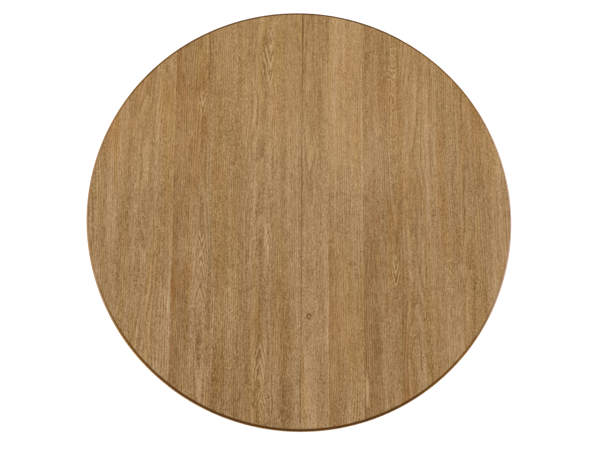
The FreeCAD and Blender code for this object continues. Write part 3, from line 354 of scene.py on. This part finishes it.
class Oak:
    """Stained oak in a place given as (along the grain, across it, through it)."""

    def __init__(self, material, place, heart, heart_depth, taper, seed):
        self.material, self.place, self.seed = material, place, seed
        along, across, through = place
        sway = self.noise(*SWAY) * RING_SWAY
        shiver = self.noise(*SHIVER) * RING_SHIVER
        from_heart = (across - heart).length_with(through - heart_depth)
        phase = ((from_heart + along * taper + sway + shiver) * RING_COUNT).fraction()
        fade = self.noise(*FADE).remap(-0.12, 0.16)
        self.dark = phase.remap(0.0, 0.34, 1.0, 0.0, smooth=True) * fade * RING_DARK
        self.pale = phase.remap(0.42, 0.66, 0.0, 1.0, smooth=True) * fade * RING_PALE
        self.pores = self.noise(*PORES).remap(0.05, 0.18)
        self.fibre = self.noise(*FIBRE)
        self.fleck = self.noise(*FLECK)
        self.dash = self.noise(*DASH)
        self.zone = self.noise(*ZONE).remap(-0.10, 0.10, 0.0, 1.0, smooth=True)
        self.blotch = self.noise(*BLOTCH)
        self.warm_band = self.noise(*WARM_BAND)
        self.streak = self.noise(*STREAK)

    def noise(self, scales, detail=2.0, roughness=0.5):
        """Noise that is 0 on average."""
        return cloud(self.place, scales, detail, roughness, self.seed) - 0.5

    def colour(self, tone, warmth, mottle=1.0, rings=1.0, pores=0.34):
        """tone and warmth run from 0 to 1 and may vary over the surface; the rest are strengths."""
        fleck = self.fleck * (self.zone * 0.5 + 1.25) * mottle
        fine = fleck + self.fibre * (self.zone * -0.3 + 1.0)
        light = fine + self.streak * 0.60 + self.dash * 0.10 + self.blotch * 0.28 + tone
        colour = gradient(light.clamped(), OAK_STOPS)
        orange = self.blotch.remap(-0.08, 0.12, smooth=True) * self.warm_band.remap(-0.14, 0.08)
        colour = colour.blend(ORANGE_CAST, (orange * warmth * 0.95).clamped(), "MULTIPLY")
        greyed = self.streak.remap(0.02, 0.16, 0.0, 0.45, smooth=True)
        golden = self.warm_band.remap(0.0, 0.14, 0.0, 0.50, smooth=True)
        colour = colour.blend(GREYED_CAST, greyed, "MULTIPLY")
        colour = colour.blend(GOLDEN_CAST, golden, "MULTIPLY")
        colour = colour.blend(OAK_LINE, (self.dark * rings).clamped())
        colour = colour.blend(OAK_PALE_LINE, (self.pale * rings).clamped())
        return colour.blend(OAK_LINE, self.pores * pores)

    def finish(self):
        """Satin lacquer that has sunk a little into the pores and rings."""
        self.material.set("Roughness", (self.fleck * 0.20 + self.pores * 0.14 + 0.42).clamped())
        self.material.bump(self.fibre * 0.4 - self.pores - self.dark, 0.35, 0.00025)


def mask_near(across, along, half_width, half_length, ragged):
    """1 in the middle of an oval, falling to 0 at its edge."""
    reach = (across * (1 / half_width)).length_with(along * (1 / half_length))
    return (reach + ragged).remap(0.45, 1.0, 1.0, 0.0, smooth=True)


def figured(colour, oak, on_board):
    """Paints the vees, curls, knots and pale streaks that lie within a board's width."""
    along, across, _ = oak.place
    ragged = oak.noise(*RAGGED)

    def inside(spots):
        return [spot for spot in spots if on_board(spot[0])]
    for x, y, half_width, half_length, strength, way, spacing in inside(VEES):
        u, v = across - x, along - y
        arch_height = spacing * min(half_length / half_width * 1.8, VEE_STEEPEST)
        soft = (u + ragged * 0.004).length_with(VEE_ROUNDING)
        arches = v * (way / arch_height) - soft * (1 / spacing)
        phase = (arches + ragged * 0.8).fraction()
        near = mask_near(u, v, half_width, half_length, ragged * 0.7) * strength
        dark = phase.remap(0.0, 0.40, 1.0, 0.0, smooth=True) * near
        pale = phase.remap(0.50, 0.75, 0.0, 1.0, smooth=True) * near
        colour = colour.blend(OAK_LINE, (dark * VEE_DARK).clamped())
        colour = colour.blend(OAK_PALE_LINE, (pale * VEE_PALE).clamped())
    for x, y, half_width, half_length, strength in inside(CURLS):
        u, v = across - x, along - y
        bend = (u - ragged * 0.02).absolute() * 0.9
        phase = ((v - bend) * (1 / CURL_SPACING) + ragged * 1.6).fraction()
        near = mask_near(u, v, half_width, half_length * 1.25, ragged * 0.8) * strength
        dark = phase.remap(0.0, 0.42, 1.0, 0.0, smooth=True) * near
        pale = phase.remap(0.48, 0.78, 0.0, 1.0, smooth=True) * near
        colour = colour.blend(OAK_LINE, (dark * CURL_DARK).clamped())
        colour = colour.blend(OAK_PALE_LINE, (pale * CURL_PALE).clamped())
    for x, y, size in inside(KNOTS):
        distance = (across - x).length_with((along - y) * 0.8) + ragged * 0.0015
        ring = (distance - size).absolute().remap(0.0, size * 0.60, 1.0, 0.0, smooth=True)
        colour = colour.blend(OAK_PALE_LINE, distance.remap(size * 0.5, 0.0, 0.0, KNOT_PALE))
        colour = colour.blend(OAK_LINE, (ring * KNOT_DARK).clamped())
    for x, y, half_width, half_length in inside(PALE_STREAKS):
        near = mask_near(across - x, along - y, half_width, half_length, ragged * 0.4)
        colour = colour.blend(OAK_PALE_LINE, (near * STREAK_PALE).clamped())
    return colour


def rim_colour(colour, oak, radius, end_grain):
    """Stain, glaze, painted sheen and painted shade on the moulded edge; end_grain is 1 where the
    rim cuts the boards' ends.
    """
    x, y, z = oak.material.place
    on_bead = radius.remap(QUIRK_RADIUS - QUIRK_SOFTNESS, QUIRK_RADIUS + QUIRK_SOFTNESS)
    rightward = x.remap(*RIM_LIT, smooth=True)
    edge_colour = colour.blend(EDGE_STAIN, 1.0, "MULTIPLY")
    upper = z.remap(*[TOP_Z - depth for depth in STAINED_DEPTH], smooth=True)
    outer = radius.remap(*[QUIRK_RADIUS + reach for reach in OUTER_FACE], smooth=True)
    # Painted sheen: the bead's outer face is painted paler, and paler still towards the right,
    # where light falls on it.
    pale = colour.blend(BEAD_PAINTED_SHEEN, 0.55).blend(BEAD_PAINTED_HIGHLIGHT, rightward * 0.9)
    golden = colour.blend(GOLDEN_STAIN, 1.0, "MULTIPLY")
    bead = colour.blend(pale, outer).blend(golden, end_grain.remap(0.35, 0.62, smooth=True))
    lip = z.remap(*[TOP_Z - depth for depth in LIP_DEPTH], smooth=True)
    deep = colour.blend(DEEP_STAIN, 1.0, "MULTIPLY")
    bead = bead.blend(deep, end_grain.remap(0.78, 0.93, smooth=True) * lip)
    colour = colour.blend(edge_colour.blend(bead, upper), on_bead)
    # The glaze line in the quirk is partly glaze and partly painted shade.
    rearward = y.remap(-0.5 * TOP_RADIUS, 0.5 * TOP_RADIUS)
    wander = oak.noise(*RIM_WANDER) * GLAZE_AND_SHADE_WANDER
    outset = end_grain.remap(0.3, 0.95, 0.0002, 0.0016) + rearward * 0.0012
    width = end_grain.remap(0.3, 0.85, 0.0018, 0.0046)
    away = (radius - QUIRK_RADIUS - outset + wander).absolute()
    near = away.math("DIVIDE", width).remap(0.45, 1.0, 1.0, 0.0)
    glaze_and_shade_depths = [TOP_Z - depth for depth in GLAZE_AND_SHADE_DEPTH]
    above = (z + rearward * REAR_GLAZE_AND_SHADE_RISE).remap(*glaze_and_shade_depths)
    # Painted shade: the glaze line is fainter towards the rear and towards the right edge, where
    # light falls.
    depth = end_grain.remap(0.20, 0.70, 0.30, 1.0) * rearward.remap(0.0, 1.0, 1.0, 0.66)
    depth = depth * rightward.remap(0.0, 1.0, 1.0, 0.72)
    return colour.blend(GLAZE_AND_PAINTED_SHADE, (near * above * depth).clamped())


# How much lighter every board is; painted light that makes the top lighter towards the rear;
# painted shade that makes it darker towards the front, or painted light a little lighter there on
# the right boards past the first; and painted shade along the seam on the right.
OVERALL_TONE, REAR_PAINTED_LIGHT, FRONT_PAINTED_SHADE, FRONT_PAINTED_LIGHT, SEAM_PAINTED_SHADE = 0.035, 0.06, -0.08, 0.02, -0.11


def top_oak(side, number, inner, board):
    """Oak for one board of the top, which begins at inner and ends at its own joint."""
    outer, tone, warmth, drift, orange_edge, heart, heart_depth = board
    way = 1 if side == "right" else -1
    material = Material("top_oak_%s_%d" % (side, number), Specular_IOR_Level=0.12)
    x, y, z = material.place
    seed = 17.3 * number + (5.1 if side == "left" else 0.0)
    oak = Oak(material, (y, x, z), way * heart, TOP_Z - heart_depth, 0.012 * (-1) ** number, seed)
    left_edge = way * inner if side == "right" else way * outer
    from_left = x - left_edge
    edge = (from_left + oak.noise(*STAIN_WANDER) * 0.05).remap(0.018, 0.060, 1.0, 0.0, smooth=True)
    front = y.remap(0.15, -0.35, 0.15 if side == "right" else 0.70, 1.0)
    edge = edge * front * oak.noise(*STAIN_CLOUD).remap(-0.16, 0.06, 0.45, 1.0) * orange_edge
    # Painted light lightens a band towards the rear; towards the front, painted shade darkens the
    # left half and the first right board, and painted light lightens the other right boards a
    # little.
    rear_painted_light = (y - 0.25).absolute().remap(0.0, 0.25, REAR_PAINTED_LIGHT, 0.0, smooth=True)
    shade = FRONT_PAINTED_SHADE if side == "left" or number == 1 else FRONT_PAINTED_LIGHT
    front_painted_light_and_shade = y.remap(-0.55, -0.05, shade, 0.0)
    tones = y * (drift / TOP_RADIUS) + rear_painted_light + front_painted_light_and_shade + tone + OVERALL_TONE
    # Painted shade beside the seam on the first right board.
    if side == "right" and number == 1:
        tones = tones + x.remap(0.010, 0.018, SEAM_PAINTED_SHADE, 0.0) * y.remap(-0.30, 0.0)
    colour = oak.colour(tones, warmth)
    colour = colour.blend(ORANGE_CAST, (edge * 0.75).clamped(), "MULTIPLY")
    colour = colour.blend(REAR_CAST, y.remap(-0.10, 0.50, 0.0, 0.40, smooth=True), "MULTIPLY")
    if side == "left":
        greyed = y.remap(0.05, -0.30, 0.0, 0.25, smooth=True)
        colour = colour.blend(GREYED_CAST, greyed, "MULTIPLY")
    low, high = sorted((way * inner, way * outer))
    colour = figured(colour, oak, lambda place: low <= place < high)
    radius = x.length_with(y)
    colour = rim_colour(colour, oak, radius, y.absolute() * (1 / TOP_RADIUS))
    below = material.normal[2].remap(-0.9, -0.6, 1.0, 0.0) * 0.6
    material.set("Base Color", colour.blend(OAK_RAW, below))
    oak.finish()
    return material.made


BASE_TONE, BASE_WARMTH = 0.46, 0.6
BASE_HEART, BASE_HEART_DEPTH, BASE_TAPER = 0.09, 0.12, 0.02
CORNER_GLAZE_AND_SHADE_REACH = 0.012


def base_oak(name, along, across, through, seed):
    """Oak for the base; along, across and through turn a material's place into distances."""
    material = Material(name, Specular_IOR_Level=0.4)
    place = [pick(*material.place) for pick in (along, across, through)]
    oak = Oak(material, place, BASE_HEART, BASE_HEART_DEPTH, BASE_TAPER, seed)
    colour = oak.colour(BASE_TONE, BASE_WARMTH, mottle=0.45, rings=2.2, pores=0.55)
    worn = material.edge.remap(0.52, 0.62)
    colour = colour.blend(OAK_PALE_LINE, (worn * 0.35).clamped())
    # Glaze and painted shade: darker in grooves, in corners and where parts meet.
    glaze_and_shade = material.recess(CORNER_GLAZE_AND_SHADE_REACH).remap(0.30, 0.75) * 0.80
    colour = colour.blend(GLAZE_AND_PAINTED_SHADE, glaze_and_shade.clamped())
    material.set("Base Color", colour)
    oak.finish()
    return material.made


def column_oak():
    return base_oak("column_oak", lambda x, y, z: z, lambda x, y, z: x, lambda x, y, z: y, 3.1)


def apron_oak():
    def along(x, y, z):
        return y.math("ARCTAN2", x) * APRON_RADIUS

    def through(x, y, z):
        return x.length_with(y) - APRON_RADIUS
    return base_oak("apron_oak", along, lambda x, y, z: z, through, 8.4)


def cap_oak():
    return base_oak("cap_oak", lambda x, y, z: x, lambda x, y, z: y, lambda x, y, z: z, 5.7)


def leg_oak(number, angle):
    """Oak for a leg that points out at an angle, with its grain along the leg's fall."""
    c, s = math.cos(math.radians(angle)), math.sin(math.radians(angle))
    cf, sf = math.cos(LEG_FALL), math.sin(LEG_FALL)

    def along(x, y, z):
        return (x * c + y * s) * cf + z * sf

    def across(x, y, z):
        return z * cf - (x * c + y * s) * sf

    def through(x, y, z):
        return y * c - x * s
    return base_oak("leg_oak_%d" % number, along, across, through, 11.0 + 3.7 * number)


# ------------------------------------------------------------------ other materials


def beech(name, along, across):
    """Waxed beech for the working parts under the top: short dark flecks on pink straw."""
    material = Material(name, Specular_IOR_Level=0.3)
    x, y, z = material.place
    places = {"x": x, "y": y, "z": z}
    third = next(axis for axis in "zyx" if axis not in (along, across))
    place = (places[along], places[across], places[third])
    fibre = cloud(place, (18.0, 420.0, 420.0), detail=3.0, roughness=0.6)
    bands = cloud(place, (1.2, 55.0, 55.0), detail=2.0)
    flecks = cloud(place, (190.0, 950.0, 950.0), detail=1.0).remap(0.60, 0.72)
    light = (fibre - 0.5) * 0.8 + (bands - 0.5) * 0.9 + 0.5
    colour = gradient(light.clamped(), ((0.0, linear(176, 134, 92)), (0.5, linear(202, 164, 120)),
                                        (1.0, linear(220, 188, 146))))
    colour = colour.blend(linear(140, 98, 62), (flecks * 0.55).clamped())
    # Painted shade: darker in hollows and inner corners.
    colour = colour.blend(linear(120, 88, 58), (material.edge.remap(0.48, 0.42) * 0.5).clamped())
    material.set("Base Color", colour)
    material.set("Roughness", (fibre * 0.2 + 0.45).clamped())
    material.bump(fibre - flecks, 0.3, 0.0002)
    return material.made


def metal(name, base, stain, roughness):
    """Plated steel with cloudy passivation, fine scratches and rubbed edges."""
    material = Material(name, Metallic=1.0)
    clouding = cloud(material.place, (45.0, 45.0, 45.0), detail=4.0, roughness=0.65)
    scratches = cloud(material.place, (60.0, 60.0, 60.0), detail=3.0, roughness=0.7)
    colour = gradient(clouding.remap(0.3, 0.7), ((0.0, stain), (1.0, base)))
    bright = tuple(min(1.0, value * 1.25) for value in base[:3]) + (1.0,)
    colour = colour.blend(bright, (material.edge.remap(0.52, 0.60) * 0.6).clamped())
    material.set("Base Color", colour)
    material.set("Roughness", (scratches * 0.22 + clouding * 0.12 + roughness).clamped())
    material.bump(scratches, 0.2, 0.0001)
    return material.made


def powder_coat():
    material = Material("black_powder_coat", Specular_IOR_Level=0.45)
    orange_peel = cloud(material.place, (1400.0, 1400.0, 1400.0), detail=2.0)
    dust = cloud(material.place, (30.0, 30.0, 30.0), detail=4.0, roughness=0.7)
    black, grey = linear(26, 26, 27), linear(52, 50, 47)
    colour = gradient(dust.remap(0.3, 0.75), ((0.0, black), (1.0, grey)))
    colour = colour.blend(linear(104, 100, 94), (material.edge.remap(0.53, 0.62) * 0.5).clamped())
    material.set("Base Color", colour)
    material.set("Roughness", (orange_peel * 0.25 + dust * 0.15 + 0.35).clamped())
    material.bump(orange_peel, 0.35, 0.0002)
    return material.made


def moulded_nylon(name, light, dark, roughness):
    material = Material(name, Specular_IOR_Level=0.45)
    flow = cloud(material.place, (28.0, 90.0, 60.0), detail=3.0, roughness=0.6)
    grain = cloud(material.place, (1600.0, 1600.0, 1600.0), detail=1.0)
    colour = gradient(flow.remap(0.3, 0.7), ((0.0, dark), (1.0, light)))
    # Painted shade: darker in hollows and inner corners.
    colour = colour.blend(dark, (material.edge.remap(0.47, 0.40) * 0.6).clamped())
    material.set("Base Color", colour)
    material.set("Roughness", (grain * 0.2 + flow * 0.1 + roughness).clamped())
    material.bump(grain, 0.25, 0.0001)
    return material.made


def give(material, *names):
    """Puts one material on each named CAD node, in place of what it was packed with."""
    for name in names:
        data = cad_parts[name].data
        for index in range(max(1, len(data.materials))):
            if index < len(data.materials):
                data.materials[index] = material
            else:
                data.materials.append(material)


def finish_nodes():
    sides = ("left", "right")
    ends = ("front", "rear")
    give(column_oak(), "column")
    give(cap_oak(), "column_cap")
    for number, angle in enumerate(LEG_ANGLES, start=1):
        give(leg_oak(number, angle), "leg_%d" % number)
    rails = [end + "_rail_" + side for end in ends for side in sides]
    rails += [end + "_centre_rail" for end in ends] + ["battens_" + side for side in sides]
    give(beech("beech_along_x", "x", "y"), *rails, "alignment_pins")
    give(beech("beech_along_y", "y", "x"), "bearer_left", "bearer_right",
         *["glue_blocks_" + side for side in sides])
    give(beech("beech_dowels", "z", "x"), "dowels")
    zinc = metal("bright_zinc", linear(196, 198, 200), linear(158, 160, 164), 0.26)
    locks = [end + "_lock_" + part for end in ends for part in ("base", "keeper", "lever")]
    give(zinc, "pinion_straps", "pinion_pins", "tie_rod", "tie_rod_washers", "tie_rod_nuts",
         "lag_screws", *locks)
    yellow = metal("yellow_zinc", linear(204, 178, 112), linear(176, 142, 92), 0.30)
    give(yellow, "centre_rail_screws", "strap_screws", "spider_screws", "glide_screws",
         *[kind + "_screws_" + side for kind in ("wood", "small") for side in sides])
    give(powder_coat(), "spider_plate")
    white = moulded_nylon("white_nylon", linear(226, 222, 210), linear(204, 198, 182), 0.34)
    give(white, "pin_bushes", "thrust_washers", *[end + "_pinion" for end in ends],
         *[end + "_rack_" + side for end in ends for side in sides])
    give(moulded_nylon("dark_nylon", linear(52, 50, 48), linear(34, 33, 32), 0.45), "glides")


# ------------------------------------------------------------------ pieces made here


def round_points(centre, radius, start, stop, steps):
    """Points of an arc in a section, from one angle to another, as (radius, height)."""
    angles = [math.radians(start + (stop - start) * step / steps) for step in range(steps + 1)]
    return [(centre[0] + radius * math.cos(a), centre[1] + radius * math.sin(a)) for a in angles]


def revolved(section, closed):
    """A section turned full circle: a closed ring, or a disc capped at both of its ends."""
    shape = bmesh.new()
    turns = [2 * math.pi * step / RIM_STEPS for step in range(RIM_STEPS)]
    rings = [[shape.verts.new((r * math.cos(a), r * math.sin(a), z)) for a in turns]
             for r, z in section]
    pairs = list(zip(rings, rings[1:])) + ([(rings[-1], rings[0])] if closed else [])
    for one, other in pairs:
        for step in range(RIM_STEPS):
            after = (step + 1) % RIM_STEPS
            shape.faces.new((one[step], other[step], other[after], one[after]))
    if not closed:
        shape.faces.new(rings[0])
        shape.faces.new(rings[-1][::-1])
    bmesh.ops.recalc_face_normals(shape, faces=shape.faces)
    return shape


def sliced(shape, point, normal):
    """Takes away what lies beyond a plane, where its normal points, and closes the cut."""
    everything = shape.verts[:] + shape.edges[:] + shape.faces[:]
    cut = bmesh.ops.bisect_plane(shape, geom=everything, plane_co=point, plane_no=normal,
                                 clear_outer=True, dist=1e-7)
    edges = [item for item in cut["geom_cut"] if isinstance(item, bmesh.types.BMEdge)]
    bmesh.ops.holes_fill(shape, edges=edges, sides=0)


def piece(name, shape, material, body, node):
    """Makes an object of a bmesh, with its sharp edges kept, and has it stand for a CAD node."""
    bmesh.ops.recalc_face_normals(shape, faces=shape.faces)
    data = bpy.data.meshes.new(name)
    shape.to_mesh(data)
    shape.free()
    data.materials.append(material)
    data.shade_smooth()
    data.set_sharp_from_angle(angle=SHARP_EDGE)
    made = bpy.data.objects.new(name, data)
    bpy.context.scene.collection.objects.link(made)
    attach(made, body)
    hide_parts(node)
    return made


def top_section():
    arris = (QUIRK_RADIUS - EDGE_ARRIS, TOP_Z - EDGE_ARRIS)
    bead = (QUIRK_RADIUS, TOP_Z - EDGE_STEP - EDGE_BEAD)
    lower = (TOP_RADIUS - EDGE_LOWER_ROUND, UNDERSIDE_Z + EDGE_LOWER_ROUND)
    return (round_points(arris, EDGE_ARRIS, 90, 0, ARRIS_STEPS)
            + round_points(bead, EDGE_BEAD, 90, 0, EDGE_BEAD_STEPS)
            + round_points(lower, EDGE_LOWER_ROUND, 0, -90, LOWER_ROUND_STEPS))


def drill_sockets(board, side):
    """Bores the sockets for the alignment pins, or for their bushes, into a board's seam face."""
    radius, depth = SOCKETS[side]
    way = 1 if side == "right" else -1
    drills = bmesh.new()
    for y in SOCKET_Y:
        place = Matrix.Translation((0, y, SOCKET_Z)) @ Matrix.Rotation(math.pi / 2, 4, "Y")
        bmesh.ops.create_cone(drills, cap_ends=True, segments=SOCKET_SIDES, radius1=radius,
                              radius2=radius, depth=2 * depth, matrix=place)
    data = bpy.data.meshes.new("drills")
    drills.to_mesh(data)
    drills.free()
    tool = bpy.data.objects.new("drills", data)
    bpy.context.scene.collection.objects.link(tool)
    cut = board.modifiers.new("sockets", "BOOLEAN")
    cut.operation = "DIFFERENCE"
    cut.solver = "EXACT"
    cut.object = tool
    evaluated = board.evaluated_get(bpy.context.evaluated_depsgraph_get())
    drilled = bpy.data.meshes.new_from_object(evaluated)
    board.modifiers.clear()
    board.data = drilled
    board.data.set_sharp_from_angle(angle=SHARP_EDGE)
    bpy.data.objects.remove(tool)


def make_boards():
    """Each half of the top as its glued boards, from the seam outwards."""
    whole = revolved(top_section(), closed=False)
    for side, way in (("right", 1), ("left", -1)):
        inner = HALF_SEAM
        for number, board in enumerate(BOARDS[side], start=1):
            outer = board[0]
            shape = whole.copy()
            sliced(shape, (way * inner, 0, 0), (-way, 0, 0))
            if outer < TOP_RADIUS:
                sliced(shape, (way * outer, 0, 0), (way, 0, 0))
            if number == 1:
                sliced(shape, (way * (inner + SEAM_CHAMFER), 0, TOP_Z), (-way, 0, 1))
            oak = top_oak(side, number, inner, board)
            made = piece("board_%s_%d" % (side, number), shape, oak,
                         side + "_half", "top_boards_" + side)
            if number == 1:
                drill_sockets(made, side)
            inner = outer
    whole.free()


def apron_section():
    face, inside = APRON_RADIUS - APRON_SET_BACK, APRON_RADIUS - APRON_THICKNESS
    bead_top = APRON_BOTTOM + 2 * APRON_BEAD
    bead = (APRON_RADIUS - APRON_BEAD, APRON_BOTTOM + APRON_BEAD)
    back_and_face = [(inside, APRON_BOTTOM), (inside, UNDERSIDE_Z), (face, UNDERSIDE_Z),
                     (face, bead_top + APRON_STEP), (face - APRON_STEP, bead_top)]
    return back_and_face + round_points(bead, APRON_BEAD, 90, -90, APRON_BEAD_STEPS)


def make_aprons():
    whole = revolved(apron_section(), closed=True)
    material = apron_oak()
    for side, way in (("right", 1), ("left", -1)):
        shape = whole.copy()
        sliced(shape, (way * HALF_APRON_GAP, 0, 0), (-way, 0, 0))
        piece("curved_apron_" + side, shape, material,
              side + "_half", "apron_" + side)
    whole.free()


# ------------------------------------------------------------------ floor, light and camera

FLOOR_RADIUS, FLOOR_SIDES, FLOOR_GLOW = 30.0, 96, 0.42
CAMERA_AZIMUTH, CAMERA_ELEVATION, CAMERA_ROLL = -16.06, 79.80, 0.249
CAMERA_DISTANCE = 2.879
CAMERA_AIM = Vector((-0.0049, -0.0368, TOP_Z))
SENSOR_WIDTH, CAMERA_LENS = 36.0, 53.81
HORIZON_LIGHT, OVERHEAD_LIGHT = 1.0, 0.80

# Each lamp's place, what it points at, the size of its disk and its power.
LAMPS = {
    "key": ((1.6, 1.8, 5.6), (0, 0, TOP_Z), 2.6, 42),
    "side": ((-3.2, -2.8, 1.7), (0, 0, TOP_Z / 2), 1.6, 45),
}


def make_floor():
    bpy.ops.mesh.primitive_circle_add(vertices=FLOOR_SIDES, radius=FLOOR_RADIUS, fill_type="NGON")
    floor = bpy.context.object
    floor.name = "studio_floor"
    material = Material("studio_floor", 0.9)
    material.set("Base Color", linear(232, 232, 232))
    material.set("Emission Color", (1.0, 1.0, 1.0, 1.0))
    material.set("Emission Strength", FLOOR_GLOW)
    floor.data.materials.append(material.made)


def make_light(name, place, target, size, power):
    data = bpy.data.lights.new(name, "AREA")
    data.shape = "DISK"
    data.size = size
    data.energy = power
    lamp = bpy.data.objects.new(name, data)
    lamp.location = place
    lamp.rotation_mode = "QUATERNION"
    lamp.rotation_quaternion = (Vector(target) - Vector(place)).to_track_quat("-Z", "Y")
    bpy.context.scene.collection.objects.link(lamp)


def make_daylight():
    world = bpy.data.worlds.new("studio")
    world.use_nodes = True
    background = world.node_tree.nodes["Background"]
    background.inputs["Color"].default_value = (1.0, 1.0, 1.0, 1.0)
    tree = world.node_tree
    coordinates = tree.nodes.new("ShaderNodeTexCoord")
    height = split(tree, coordinates.outputs["Generated"])[2]
    strength = height.remap(0.05, 0.6, HORIZON_LIGHT, OVERHEAD_LIGHT)
    plug(tree, background.inputs["Strength"], strength)
    bpy.context.scene.world = world
    for name, lamp in LAMPS.items():
        make_light(name, *lamp)


def make_camera():
    azimuth, elevation = math.radians(CAMERA_AZIMUTH), math.radians(CAMERA_ELEVATION)
    flat = math.cos(elevation)
    back = Vector((math.sin(azimuth) * flat, -math.cos(azimuth) * flat, math.sin(elevation)))
    right = Vector((0, 1, 0)).cross(back).normalized()
    up = back.cross(right)
    turn = math.radians(CAMERA_ROLL)
    across = right * math.cos(turn) + up * math.sin(turn)
    upward = up * math.cos(turn) - right * math.sin(turn)
    data = bpy.data.cameras.new("camera")
    data.sensor_width = SENSOR_WIDTH
    data.lens = CAMERA_LENS
    camera = bpy.data.objects.new("camera", data)
    camera.matrix_world = Matrix.Translation(CAMERA_AIM + back * CAMERA_DISTANCE) @ Matrix(
        (across, upward, back)).transposed().to_4x4()
    bpy.context.scene.collection.objects.link(camera)
    bpy.context.scene.camera = camera


finish_nodes()
make_boards()
make_aprons()
make_floor()
make_daylight()
make_camera()
bpy.context.scene.view_settings.view_transform = "Standard"
